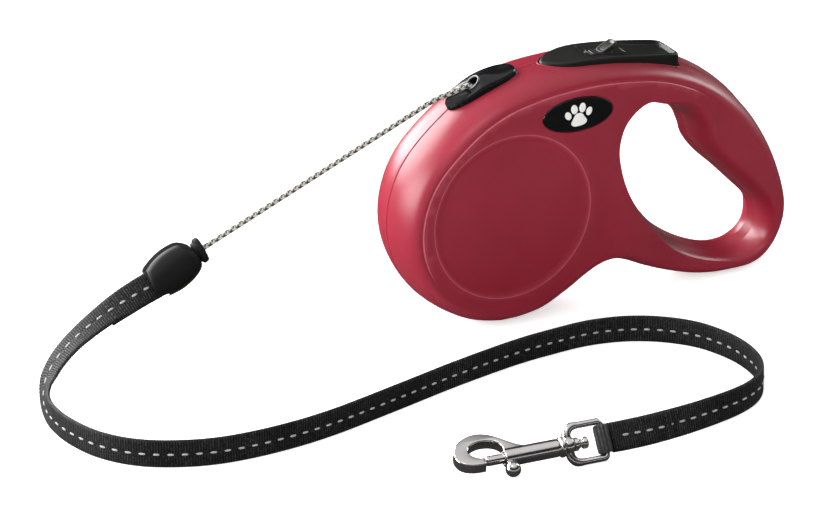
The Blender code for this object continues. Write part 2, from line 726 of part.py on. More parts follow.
def brake_lever():
    lever = xz_plate("brake_lever", [LEVER_LOOP], -0.8, 3.2, BLACK)
    join(lever, rod_y("add_lever_boss", 3.0, PIVOT_XZ, (-5.2, 5.2), 24))
    cut(lever, rod_y("cut_lever_bore", PIVOT_PIN_R + GAP, PIVOT_XZ, (-8, 8), 24))


def brake():
    empty("brake_axis", PIVOT)
    brake_button()
    lock_slider()
    brake_lever()
    rod_y("brake_pivot_pin", PIVOT_PIN_R, PIVOT_XZ, (-12.0, 12.0), 20, STEEL)
    coil("brake_return_spring", (57.0, 1.2, 79.6), (57.0, 1.2, 84.9),
         radius=2.1, wire_radius=0.35, turns=3.5)


# ---------------------------------------------------------------- cord and bobbin
STRAIGHT_END = Vector((-24.8, 0.0, 85.6))    # the cord is straight from the bobbin to here
LEAD_IN = [(-20.4, 0, 87.0), (-15.0, 0, 88.1)]    # from there to the eyelet (X, Y, Z)
BOBBIN_AXIS = Vector((-0.870, 0.0, -0.493)).normalized()      # away from the cord
BOBBIN_WIDE = square_to(Vector((0.30, -0.54, -0.78)), BOBBIN_AXIS)
BOBBIN_FLAT = BOBBIN_AXIS.cross(BOBBIN_WIDE).normalized()
# barrel: (distance along the axis, radius)
BARREL_PROFILE = [(3.2, 3.5), (4.6, 5.2), (7.0, 6.6), (10.5, 7.3), (14.5, 7.5), (18.0, 7.0),
                  (20.8, 6.3), (22.4, 5.7)]
# collar: (radius, distance along the axis)
COLLAR_PROFILE = [(1.9, -0.6), (2.3, -0.5), (2.9, 0.8), (4.2, 0.8), (4.7, 1.2), (4.7, 2.4),
                  (4.2, 2.9), (1.9, 2.9)]


def bobbin_at(distance):
    """Point on the bobbin's axis."""
    return BOBBIN + BOBBIN_AXIS * distance


BOBBIN_PIN = bobbin_at(16.2)


def cord_run():
    points = [bobbin_at(6.5), bobbin_at(2.0)]
    points += [BOBBIN + (STRAIGHT_END - BOBBIN) * share for share in (0.04, 0.35, 0.7, 1.0)]
    tube("cord_run", [*points, *LEAD_IN, EYELET, *FEED], CORD_R, CORD)


def barrel_half(name, sign):
    """Half of the barrel, split along the plane of the strap."""
    arc_steps = 14
    bm = bmesh.new()
    rows = []
    for distance, radius in BARREL_PROFILE:
        offset = -0.9 * smooth((distance - 3) / 5)    # the barrel stands out on one strap edge
        row = []
        for i in range(arc_steps + 1):
            angle = math.pi * i / arc_steps
            wide = radius * math.cos(angle) + offset
            high = min(0.80 * radius, 4.9) * math.sin(angle) + GAP / 2
            point = bobbin_at(distance) + BOBBIN_WIDE * wide + BOBBIN_FLAT * (sign * high)
            row.append(bm.verts.new(point))
        rows.append(row)
    bridge(bm, rows)
    bm.faces.new(rows[0])
    bm.faces.new(rows[-1])
    return closed_object(name, bm, BLACK)


def bobbin_barrel():
    openings = [
        block("cut_bobbin_strap", bobbin_at(18.5), (11.2, 6.8, 11.0),
              frame_of(BOBBIN_AXIS, BOBBIN_WIDE)),
        rod("cut_bobbin_ferrule", 3.0, bobbin_at(5.4), bobbin_at(13.6), 24),
        tube("cut_bobbin_cord", [bobbin_at(-1), bobbin_at(7.0)], 1.5)]
    for name, sign in (("bobbin_front", -1), ("bobbin_back", 1)):
        cut(barrel_half(name, sign), *openings)


def bobbin_collar():
    """Turned ring, then flattened to an oval like the barrel."""
    collar = turned("bobbin_collar", COLLAR_PROFILE, BOBBIN, BOBBIN_AXIS, 28, BLACK)
    for vert in collar.data.vertices:
        vert.co -= BOBBIN_FLAT * (0.25 * BOBBIN_FLAT.dot(vert.co - BOBBIN * MM))


def bobbin():
    bobbin_barrel()
    bobbin_collar()
    rod("cord_ferrule", 2.5, bobbin_at(5.8), bobbin_at(8.8), 20, BRASS, bore=1.4)
    pin_half = BOBBIN_WIDE * 5.2
    rod("bobbin_pin", 1.0, BOBBIN_PIN - pin_half, BOBBIN_PIN + pin_half, 16, STEEL)


# ---------------------------------------------------------------- webbing strap
# bolt snap: along the shank, across the eye and across the ring
SNAP_AXIS = Vector((-0.9900, 0.1050, -0.0250)).normalized()
EYE_SIDE = square_to(Vector((0.0, 0.60, 0.80)), SNAP_AXIS)
RING_SIDE = square_to(Vector((0.0, 0.974, 0.225)), SNAP_AXIS)
RING_NORMAL = SNAP_AXIS.cross(RING_SIDE)

# strap stations: centre line (X, Y, Z), direction across the strap's width
STRAP_STATIONS = [
    (BOBBIN_PIN + BOBBIN_AXIS * 1.9, BOBBIN_WIDE), ((-131.6, 0.0, 36.6), BOBBIN_WIDE),
    ((-141.5, 0.0, 32.7), (0.24, -0.78, -0.57)), ((-150.4, 0.0, 28.4), (0.16, -0.94, -0.30)),
    ((-160.6, -0.2, 22.0), (0.15, -0.985, -0.05)), ((-167.6, -1.2, 16.2), (0.20, -0.97, 0.14)),
    ((-171.8, -2.9, 11.3), (0.25, -0.88, 0.40)), ((-174.4, -6.5, 7.6), (0.16, -0.55, 0.82)),
    ((-176.4, -13.0, 5.4), (0.04, -0.20, 0.98)), ((-177.0, -22.0, 5.0), (0, -0.06, 1)),
    ((-175.4, -33.0, 5.0), (0, 0, 1)), ((-170.6, -45.5, 5.0), (0, 0, 1)),
    ((-162.0, -56.0, 5.0), (0, 0, 1)), ((-150.0, -63.2, 5.0), (0, 0, 1)),
    ((-135.0, -67.6, 5.0), (0, 0, 1)), ((-116.0, -68.2, 5.0), (0, 0, 1)),
    ((-94.5, -65.4, 5.0), (0, 0, 1)), ((-66.0, -57.8, 5.0), (0, 0, 1)),
    ((-40.0, -50.4, 5.0), (0, 0, 1)), ((-14.0, -44.4, 5.0), (0, 0, 1)),
    ((3.0, -42.2, 5.0), (0, 0, 1)), ((18.0, -41.6, 5.0), (0, 0, 1)),
    ((32.0, -44.6, 5.0), (0, 0, 1)), ((44.0, -51.6, 5.0), (0, 0, 1)),
    ((53.0, -62.0, 5.0), (0, 0, 1)), ((58.0, -77.0, 5.0), (0, 0, 1)),
    ((57.4, -92.0, 5.0), (0, 0, 1)), ((51.2, -103.6, 5.0), (0, 0.05, 1)),
    ((39.5, -110.8, 5.0), (0, 0.12, 0.99)), ((20.0, -115.3, 5.1), (0, 0.25, 0.97)),
    ((2.0, -117.5, 5.4), (0, 0.42, 0.91)), ((-9.8, -118.2, 5.8), (0, 0.55, 0.83)),
    (SNAP_HINGE - SNAP_AXIS * 2.3, EYE_SIDE)]
STITCHED = 24             # length of the doubled webbing at each end
STITCH_FADE = 1.5         # length over which it comes down to a single layer


def strap_path():
    """Centres and width directions, with a Catmull-Rom point between stations."""
    points = [Vector(point) for point, _ in STRAP_STATIONS]
    widths = [Vector(width).normalized() for _, width in STRAP_STATIONS]
    last = len(points) - 1
    centres, directions = [], []
    for i in range(last):
        p0, p1, p2, p3 = points[max(i - 1, 0)], points[i], points[i + 1], points[min(i + 2, last)]
        for t in (0.0, 0.5):
            centres.append(0.5 * (2 * p1 + (p2 - p0) * t + (2 * p0 - 5 * p1 + 4 * p2 - p3) * t**2
                                  + (3 * p1 - p0 - 3 * p2 + p3) * t**3))
            directions.append(widths[i].lerp(widths[i + 1], t).normalized())
    return centres + [points[-1]], directions + [widths[-1]]


def strap_body():
    centres, directions = strap_path()
    last = len(centres) - 1
    run = [0.0]
    for start, end in zip(centres, centres[1:]):
        run.append(run[-1] + (end - start).length)
    bm = bmesh.new()
    rows = []
    for i, (centre, direction) in enumerate(zip(centres, directions)):
        tangent = (centres[min(i + 1, last)] - centres[max(i - 1, 0)]).normalized()
        across = square_to(direction, tangent)
        doubled = max(smooth((STITCHED - run[i]) / STITCH_FADE),
                      smooth((run[i] - run[-1] + STITCHED) / STITCH_FADE))
        wide = across * (STRAP_W / 2)
        thick = tangent.cross(across).normalized() * (STRAP_T / 2 + STRAP_T * doubled / 2)
        corners = (centre + wide + thick, centre - wide + thick,
                   centre - wide - thick, centre + wide - thick)
        rows.append([bm.verts.new(corner) for corner in corners])
    bridge(bm, rows)
    bm.faces.new(rows[0])
    bm.faces.new(list(reversed(rows[-1])))
    return closed_object("webbing_strap", bm, WEBBING)


def webbing_strap():
    """The strap with a loop round the bobbin's pin and one round the swivel eye's bar."""
    pin_half, eye_half = BOBBIN_WIDE * (STRAP_W / 2), EYE_SIDE * (STRAP_W / 2)
    join(strap_body(),
         rod("add_pin_loop", 2.6, BOBBIN_PIN - pin_half, BOBBIN_PIN + pin_half, 20, bore=1.35),
         rod("add_eye_loop", 2.9, SNAP_HINGE - eye_half, SNAP_HINGE + eye_half, 20, bore=1.4))


# ---------------------------------------------------------------- swivel eye
EYE_R, EYE_HALF, EYE_LONG = 1.05, 6.25, 12.6      # wire radius, half width, length
FAR_R, BAR_R = 3.2, 1.2                           # corner radii at the stud and at the bar
# corners: (along the shank, across, radius, start angle, steps of the quarter turn)
EYE_CORNERS = [
    (EYE_LONG - FAR_R, EYE_HALF - FAR_R, FAR_R, 90, 4),
    (EYE_LONG - FAR_R, FAR_R - EYE_HALF, FAR_R, 0, 4),
    (BAR_R, BAR_R - EYE_HALF, BAR_R, -90, 3),
    (BAR_R, EYE_HALF - BAR_R, BAR_R, 180, 3)]
# stud: (radius, distance along the shank from its inner end)
STUD_PROFILE = [(0, 0), (1.7, 0), (2.0, 0.4), (2.0, 1.6), (1.5, 2.0), (1.5, 2.9), (2.2, 3.5),
                (2.2, 4.8), (1.3, 5.2), (1.3, 10.3), (0, 10.3)]


def snap_at(distance, across=0.0, side=RING_SIDE):
    """Point at a distance along the shank from the hinge, and across it along side."""
    return SNAP_HINGE + SNAP_AXIS * distance + side * across


def swivel_eye():
    loop = []
    for centre, across, radius, start, steps in EYE_CORNERS:
        for k in range(steps + 1):
            angle = math.radians(start - 90 / steps * k)
            loop.append(snap_at(centre + radius * math.cos(angle),
                                across + radius * math.sin(angle), EYE_SIDE))
    eye = tube("swivel_eye", loop, EYE_R, NICKEL, closed=True)
    join(eye, rod("add_eye_boss", 2.6, snap_at(EYE_LONG - 1.3), snap_at(EYE_LONG + 1.3), 24))
    cut(eye, rod("cut_eye_bore", 1.6, snap_at(EYE_LONG - 4), snap_at(EYE_LONG + 4), 24))
    empty("eye_hinge_axis", SNAP_HINGE)
    turned("swivel_stud", STUD_PROFILE, snap_at(EYE_LONG - 6.8), SNAP_AXIS, 24, NICKEL)


# ---------------------------------------------------------------- bolt snap
# distances along the shank
BARREL_START, BARREL_END, GATE_END = EYE_LONG + 1.6, 35.6, 42.6
BARREL_LENGTH = BARREL_END - BARREL_START
BOLT_BORE = 2.05
# barrel: (radius, distance from its start)
SNAP_PROFILE = [
    (1.6, 0), (3.0, 0), (3.5, 0.4), (3.5, 1.4), (2.9, 1.9), (3.05, 2.4), (3.05, BARREL_LENGTH),
    (BOLT_BORE, BARREL_LENGTH), (BOLT_BORE, 2.4), (1.6, 2.4)]
# ring outline: (along the shank, across)
RING_LOOP = [
    (26.4, 2.0), (29.4, 3.7), (32.4, 6.4), (35.4, 9.4), (38.4, 11.4), (41.6, 12.2), (44.8, 11.7),
    (47.8, 9.9), (50.0, 7.2), (51.2, 4.0), (51.0, 1.0), (49.6, -1.2), (47.2, -2.6), (44.4, -3.0),
    (GATE_END, -3.0), (GATE_END, 0.2), (34.6, 2.0), (31.0, 1.6)]
# bolt: (radius, distance along the shank)
BOLT_PROFILE = [(0, 26.4), (1.7, 26.4), (1.7, 41.5), (1.3, 42.2), (0, 42.3)]
# thumb knob: (radius, distance from the shank's axis)
KNOB_PROFILE = [(0, 2.0), (1.05, 2.0), (1.05, 3.9), (1.8, 4.3), (2.45, 5.1), (2.65, 6.1),
                (2.45, 7.1), (1.8, 7.95), (0.9, 8.5), (0, 8.7)]


def ring_plane_plate(name, loop, half):
    """Helper plate in the plane of the snap's ring."""
    return plate(name, [loop], SNAP_HINGE, RING_NORMAL, SNAP_AXIS, half)


def snap_body():
    body = turned("snap_body", SNAP_PROFILE, snap_at(BARREL_START), SNAP_AXIS, 24, NICKEL)
    ring = ring_plane_plate("add_snap_ring", RING_LOOP, 2.1)
    bevel(ring, 0.7, 2)
    join(body, ring)
    hole = oval(5.9, 4.4, 28, centre=(40.8, 3.9))
    gate = rectangle(BARREL_END - 0.02, GATE_END, -4, 3.4)
    cut(body,
        ring_plane_plate("cut_snap_hole", hole, 5.0),
        ring_plane_plate("cut_snap_gate", gate, 5.0),
        rod("cut_bolt_bore", BOLT_BORE, snap_at(20), snap_at(BARREL_END + 1), 24),
        ring_plane_plate("cut_knob_slot", rectangle(27.8, 36.6, -5, -0.5), 1.45))


def bolt_snap():
    snap_body()
    turned("snap_bolt", BOLT_PROFILE, SNAP_HINGE, SNAP_AXIS, 24, NICKEL)
    turned("thumb_knob", KNOB_PROFILE, snap_at(34.6), -RING_SIDE, 20, NICKEL)
    coil("bolt_spring", snap_at(17.2), snap_at(25.9), radius=1.3, wire_radius=0.25, turns=5)


# ---------------------------------------------------------------- assembly
def casing():
    openings = top_openings()
    for side in (-1, 1):
        casing_half(side, openings)
        badge(side)
    casing_screws()


casing()
cord_guide()
cord_eyelet()
spool()
ratchet_ring()
mainspring()
brake()
cord_run()
bobbin()
webbing_strap()
swivel_eye()
bolt_snap()
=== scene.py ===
"""A retractable dog lead, lying with its casing upright and its webbing on the floor.

The front is -x, where the cord leaves the casing, and the hand grip is at +x. Left is -y, right is
+y, and z is up from the floor. Sizes are in millimetres until add() turns them into metres; lengths
inside the materials are in metres.
"""
import math
from functools import cached_property

import bmesh
import bpy
import numpy as np
from mathutils import Matrix, Vector
from mathutils.geometry import delaunay_2d_cdt

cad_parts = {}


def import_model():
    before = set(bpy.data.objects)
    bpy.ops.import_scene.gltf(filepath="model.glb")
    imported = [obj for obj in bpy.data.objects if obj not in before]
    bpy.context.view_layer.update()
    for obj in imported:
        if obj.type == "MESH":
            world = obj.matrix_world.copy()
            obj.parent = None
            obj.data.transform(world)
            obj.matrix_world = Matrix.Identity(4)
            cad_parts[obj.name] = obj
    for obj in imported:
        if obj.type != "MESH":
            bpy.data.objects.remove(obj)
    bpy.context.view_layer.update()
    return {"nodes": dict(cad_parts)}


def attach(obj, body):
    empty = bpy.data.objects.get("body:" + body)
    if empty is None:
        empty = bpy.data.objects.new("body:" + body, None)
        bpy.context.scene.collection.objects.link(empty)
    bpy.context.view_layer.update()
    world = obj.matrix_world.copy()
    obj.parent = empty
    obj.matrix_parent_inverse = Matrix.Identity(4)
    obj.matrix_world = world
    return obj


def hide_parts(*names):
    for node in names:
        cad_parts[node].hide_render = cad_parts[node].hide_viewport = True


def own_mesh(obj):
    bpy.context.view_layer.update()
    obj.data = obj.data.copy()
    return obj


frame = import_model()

MM = 0.001

# ================================================================ driving dimensions (mm)
CASE_HALF = 16.5        # half thickness of the casing at its round body
WALL = 2.2
PART_Y = 1.0            # the plane where the two shells meet
AXLE_Z = 43.3
LABEL_R = 31.0          # round recess about the axle
CORD_R = 1.1
STRAP_W, STRAP_T = 10.0, 1.5

EYELET = Vector((-8.7, 0, 88.9))
LEAD = Vector((-24.8, 0, 85.6))           # where the free span of cord starts
BOBBIN = Vector((-111.5, 0, 47.2))
LEAD_DIR = (LEAD - BOBBIN).normalized()
BOBBIN_AXIS = Vector((-0.870, 0.0, -0.493)).normalized()
EYE_DIR = Vector((0.985, 0.0, 0.17)).normalized()


def square_to(direction, axis):
    """The unit vector nearest to direction that is square to the axis."""
    direction = Vector(direction)
    return (direction - axis * direction.dot(axis)).normalized()


STRAP_ACROSS = square_to((0.30, -0.54, -0.78), BOBBIN_AXIS)
BOBBIN_NORMAL = BOBBIN_AXIS.cross(STRAP_ACROSS).normalized()
PIN = BOBBIN + BOBBIN_AXIS * 16.2

SNAP = Vector((-18.6, -118.3, 6.2))       # the bar of the swivel eye
SNAP_AXIS = Vector((-0.9900, 0.1050, -0.0250)).normalized()
EYE_SIDE = square_to((0.0, 0.60, 0.80), SNAP_AXIS)
RING_SIDE = square_to((0.0, 0.974, 0.225), SNAP_AXIS)

# The cord guide's own frame: along, y and out of the casing's top
GUIDE = Vector((-4.1, 0.0, 87.3))
GUIDE_ALONG = Vector((0.942, 0.0, 0.336))
GUIDE_UP = Vector((-0.336, 0.0, 0.942))
GUIDE_A, GUIDE_B = 14.2, 6.1
GUIDE_Y = 1.1
GUIDE_WAY = [(-8.1, 0, 88.3), (-7.5, 0, 87.0), (-6.8, -0.1, 85.2), (-4.6, -0.5, 83.4),
             (-0.6, -0.9, 81.6)]

BADGE = np.array([25.4, 78.3])            # x, z
BADGE_A, BADGE_B = 13.9, 6.2
SCREWS = [(14.4, 86.4), (42.0, 24.6), (88.2, 66.4), (106.6, 36.4)]     # x, z

# Casing outline and finger hole: x, z
OUTLINE = [
    (3, 0), (14, 1.9), (24.6, 7.1), (32, 11.6), (37.5, 14.3), (43, 15.2), (49, 13.6), (58.6, 9.0),
    (68.6, 4.8), (79, 1.5), (89, 0), (98, 0), (105, 0.8), (110.5, 3.8), (114.8, 9.0), (117.6, 16),
    (118.4, 24), (117.1, 33), (114, 42.8), (109.5, 52.2), (103.6, 61.3), (96.2, 69.7), (87.6, 77),
    (78, 83), (66, 88.1), (52, 91.5), (36, 93.4), (20, 93.0), (8, 91.4), (-4, 88.3), (-14, 83.4),
    (-22.5, 77.2), (-31.3, 68.8), (-36.9, 60.5), (-40.3, 51), (-41.4, 41.4), (-40.2, 32),
    (-36.6, 22.6), (-31, 14.2), (-23, 7.4), (-13.6, 2.4), (-3, 0)]
HOLE = [
    (54.5, 75.2), (62, 73.4), (70, 70.0), (75.2, 66), (78, 60.5), (80.2, 54.5), (85.2, 47.8),
    (93.3, 40.1), (101.2, 32.2), (107, 26), (109.8, 19.5), (108.9, 12), (103.6, 7.6), (96, 6.8),
    (86, 9.2), (76, 13.8), (67, 20.2), (59.5, 28.3), (53, 36.6), (48.5, 45), (45.7, 54),
    (44.9, 62), (47.5, 70)]
# Brake button: x, z of its top line, and x, half width of its plan
BUTTON_TOP = [(18.0, 93.2), (23, 94.2), (34, 94.7), (46, 93.9), (60, 92.2), (70, 90.7), (76, 89.6)]
BUTTON_PLAN = [(18.6, 0.0), (20.4, 3.2), (23.4, 5.7), (27.2, 7.4), (32, 8.4), (40, 8.8),
               (52, 8.9), (62, 8.75), (68.6, 8.4), (71.2, 7.2), (72.0, 4.2)]

LOOKS = bpy.data.collections.new("looks")
bpy.context.scene.collection.children.link(LOOKS)


# ================================================================ curves and plans
def ease(value, start=0, span=1):
    """A smooth step from 0 at start to 1 at start + span."""
    t = np.clip((value - start) / span, 0.0, 1.0)
    return t * t * (3 - 2 * t)


def turn(count):
    return 2 * np.pi * np.arange(count) / count


def catmull(p0, p1, p2, p3, t):
    return 0.5 * (2 * p1 + (p2 - p0) * t + (2 * p0 - 5 * p1 + 4 * p2 - p3) * t**2
                  + (3 * p1 - p0 - 3 * p2 + p3) * t**3)


def span_points(points, i):
    """The four control points of an open spline's span i."""
    return points[max(i - 1, 0)], points[i], points[i + 1], points[min(i + 2, len(points) - 1)]


def closed_spline(points, steps):
    P = np.array(points, float)
    n = len(P)
    return np.array([catmull(P[i - 1], P[i], P[(i + 1) % n], P[(i + 2) % n], k / steps)
                     for i in range(n) for k in range(steps)])


def open_spline(points, steps):
    P = np.array(points, float)
    return np.array([catmull(*span_points(P, i), k / steps)
                     for i in range(len(P) - 1) for k in range(steps)] + [P[-1]])


def resampled(P, step):
    """The polyline at even arc-length steps, with its arc length."""
    run = np.concatenate([[0], np.cumsum(np.linalg.norm(np.diff(P, axis=0), axis=1))])
    s = np.linspace(0, run[-1], max(2, int(run[-1] / step) + 1))
    return np.stack([np.interp(s, run, P[:, k]) for k in range(P.shape[1])], 1), s


def edge_normals(loop):
    """Outward normals of a closed plan."""
    following = np.roll(loop, -1, 0)
    tangent = following - np.roll(loop, 1, 0)
    tangent /= np.linalg.norm(tangent, axis=1)[:, None]
    area = 0.5 * np.sum(loop[:, 0] * following[:, 1] - following[:, 0] * loop[:, 1])
    normal = np.stack([tangent[:, 1], -tangent[:, 0]], 1)
    return normal if area > 0 else -normal


def signed_power(value, power):
    return np.sign(value) * np.abs(value) ** power


def oval(a, b, count=96, power=2.2):
    t = turn(count)
    return np.stack([a * signed_power(np.cos(t), 2 / power),
                     b * signed_power(np.sin(t), 2 / power)], 1)


def rounded_rect(a, b, radius, steps=7):
    """A rectangle of half sizes a and b with steps points on each corner."""
    out = []
    for sx, sy, start in ((1, 1, 0), (-1, 1, 90), (-1, -1, 180), (1, -1, 270)):
        for i in range(steps):
            t = math.radians(start + 90 * i / (steps - 1))
            out.append((sx * (a - radius) + radius * math.cos(t),
                        sy * (b - radius) + radius * math.sin(t)))
    return np.array(out)


def rounded(points, radius, steps=4):
    """An open (radius, height) profile with its inner corners rounded."""
    P = [np.array(p, float) for p in points]
    out = [P[0]]
    for a, b, c in zip(P, P[1:], P[2:]):
        u, v = a - b, c - b
        reach = min(radius, 0.45 * np.linalg.norm(u), 0.45 * np.linalg.norm(v))
        p, q = b + u / np.linalg.norm(u) * reach, b + v / np.linalg.norm(v) * reach
        for i in range(steps + 1):
            t = i / steps
            out.append((1 - t) ** 2 * p + 2 * t * (1 - t) * b + t * t * q)
    out.append(P[-1])
    return out


def rotated(points, degrees):
    c, s = math.cos(math.radians(degrees)), math.sin(math.radians(degrees))
    return np.column_stack([points[:, 0] * c - points[:, 1] * s,
                            points[:, 0] * s + points[:, 1] * c])


def upright(plan, y):
    """An x, z plan as points at depth y."""
    return np.column_stack([plan[:, 0], np.broadcast_to(y, len(plan)), plan[:, 1]])


def frame_of(axis, side=None):
    """Rows: side, cross, axis."""
    z = Vector(axis).normalized()
    if side is None:
        side = (1, 0, 0) if abs(z.x) < 0.9 else (0, 1, 0)
    x = square_to(side, z)
    return np.array([x, z.cross(x), z])


# ================================================================ meshes
def tidy(mesh, weld=0.0):
    """Welds points closer than weld (m) and turns the faces outward."""
    bm = bmesh.new()
    bm.from_mesh(mesh)
    if weld:
        bmesh.ops.remove_doubles(bm, verts=bm.verts, dist=weld)
    bmesh.ops.recalc_face_normals(bm, faces=bm.faces)
    bm.to_mesh(mesh)
    bm.free()


def shade(mesh, angle=40):
    """Smooth shading, with sharp edges above the angle (degrees)."""
    mesh.shade_smooth()
    mesh.set_sharp_from_angle(angle=math.radians(angle))


def link_mesh(name, mesh):
    o = bpy.data.objects.new(name, mesh)
    LOOKS.objects.link(o)
    return o


def add(name, verts, faces, mat, attrs=None, angle=40):
    """A mesh object from millimetre vertices."""
    mesh = bpy.data.meshes.new(name)
    mesh.from_pydata([tuple(v) for v in np.asarray(verts, float) * MM], [],
                     [tuple(int(i) for i in f) for f in faces])
    for key, values in (attrs or {}).items():
        layer = mesh.attributes.new(key, "FLOAT", "POINT")
        layer.data.foreach_set("value", np.asarray(values, np.float32).ravel())
    mesh.update()
    tidy(mesh)
    shade(mesh, angle)
    o = link_mesh(name, mesh)
    if mat:
        mesh.materials.append(mat)
    return o


def grid(name, P, mat, wrap_u=False, wrap_v=False, cap=False, attrs=None, angle=40):
    """A quad grid P[i, j]; wrap_v joins each row into a ring, cap closes the end rows."""
    n, m = P.shape[:2]
    I, J = np.meshgrid(np.arange(n if wrap_u else n - 1), np.arange(m if wrap_v else m - 1),
                       indexing="ij")
    near, far = I * m, ((I + 1) % n) * m
    beside = (J + 1) % m
    faces = np.stack([near + J, near + beside, far + beside, far + J], -1).reshape(-1, 4).tolist()
    if cap:
        faces += [list(range(m)), list(range((n - 1) * m, n * m))]
    return add(name, P.reshape(-1, 3), faces, mat, attrs, angle)


def rings(name, rows, mat, angle=40):
    """A capped body lofted through closed rows."""
    return grid(name, np.array(rows), mat, wrap_v=True, cap=True, angle=angle)


def lathe(name, profile, at, axis, mat, n=64, side=None, squash=(1.0, 1.0)):
    """A turned piece from a (radius, height) profile; points on the axis are welded."""
    profile = np.array(profile, float)
    th = turn(n)
    P = np.zeros((len(profile), n, 3))
    P[:, :, 0] = profile[:, :1] * np.cos(th) * squash[0]
    P[:, :, 1] = profile[:, :1] * np.sin(th) * squash[1]
    P[:, :, 2] = profile[:, 1:2]
    o = grid(name, P @ frame_of(axis, side) + np.array(at), mat, wrap_v=True, angle=35)
    tidy(o.data, weld=1e-7)
    shade(o.data, 35)
    return o


def bore(name, radius, low, high, at, axis, n):
    """A cylinder for cutting, between two heights on its axis."""
    profile = [(0, low), (radius, low), (radius, high), (0, high)]
    return lathe(name, profile, at, axis, None, n)


def carried_frame(line, side, closed=False):
    """Two cross directions at each point of a line, carried along without twist."""
    line_step = np.roll(line, -1, 0) - np.roll(line, 1, 0) if closed else np.gradient(line, axis=0)
    tangent = line_step / np.linalg.norm(line_step, axis=1)[:, None]
    across = np.zeros_like(line)
    up = np.array(side, float)
    for i, direction in enumerate(tangent):
        up = up - direction * (up @ direction)
        up /= np.linalg.norm(up)
        across[i] = up
    return across, np.cross(tangent, across)


def tube(name, line, radius, mat, n=24, closed=False, side=(0, 1, 0)):
    """A round tube along a polyline. The radius may be an array."""
    line = np.asarray(line, float)
    radius = np.broadcast_to(np.asarray(radius, float), (len(line),))
    U, V = carried_frame(line, side, closed)
    th = turn(n)
    circle = (U[:, None] * np.cos(th)[None, :, None] + V[:, None] * np.sin(th)[None, :, None])
    return grid(name, line[:, None] + radius[:, None, None] * circle, mat,
                wrap_u=closed, wrap_v=True, cap=not closed)


def prism(name, loop, low, high, to_world, mat=None):
    """A closed 2D loop extruded between two offsets; to_world maps (a, b, offset) to a point."""
    n = len(loop)
    verts = [tuple(to_world(a, b, offset)) for offset in (low, high) for a, b in loop]
    faces = [list(range(n)), list(range(n, 2 * n))]
    faces += [(i, (i + 1) % n, n + (i + 1) % n, n + i) for i in range(n)]
    return add(name, np.array(verts), faces, mat)


def merge(name, pieces):
    """One object out of several, keeping their material slots."""
    bm = bmesh.new()
    materials = []
    for o in pieces:
        for face in o.data.polygons:
            face.material_index += len(materials)
        materials += list(o.data.materials)
        bm.from_mesh(o.data)
    mesh = bpy.data.meshes.new(name)
    bm.to_mesh(mesh)
    bm.free()
    for m in materials:
        mesh.materials.append(m)
    shade(mesh)
    merged = link_mesh(name, mesh)
    for o in pieces:
        bpy.data.objects.remove(o, do_unlink=True)
    return merged


def evaluated_mesh(o):
    bpy.context.view_layer.update()
    return bpy.data.meshes.new_from_object(
        o.evaluated_get(bpy.context.evaluated_depsgraph_get()))


def cut(o, cutters, angle, solver="EXACT", weighted=True):
    """Subtracts and removes the cutters, then restores the shading."""
    for cutter in cutters:
        m = o.modifiers.new("b_" + cutter.name, "BOOLEAN")
        m.operation, m.object, m.solver = "DIFFERENCE", cutter, solver
    mesh = evaluated_mesh(o)
    o.modifiers.clear()
    old = o.data
    o.data = mesh
    bpy.data.meshes.remove(old)
    for cutter in cutters:
        bpy.data.objects.remove(cutter, do_unlink=True)
    shade(mesh, angle)
    if weighted:
        o.modifiers.new("normals", "WEIGHTED_NORMAL").keep_sharp = True


def fit(o, body, replaces=None):
    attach(o, body)
    if replaces:
        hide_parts(replaces)


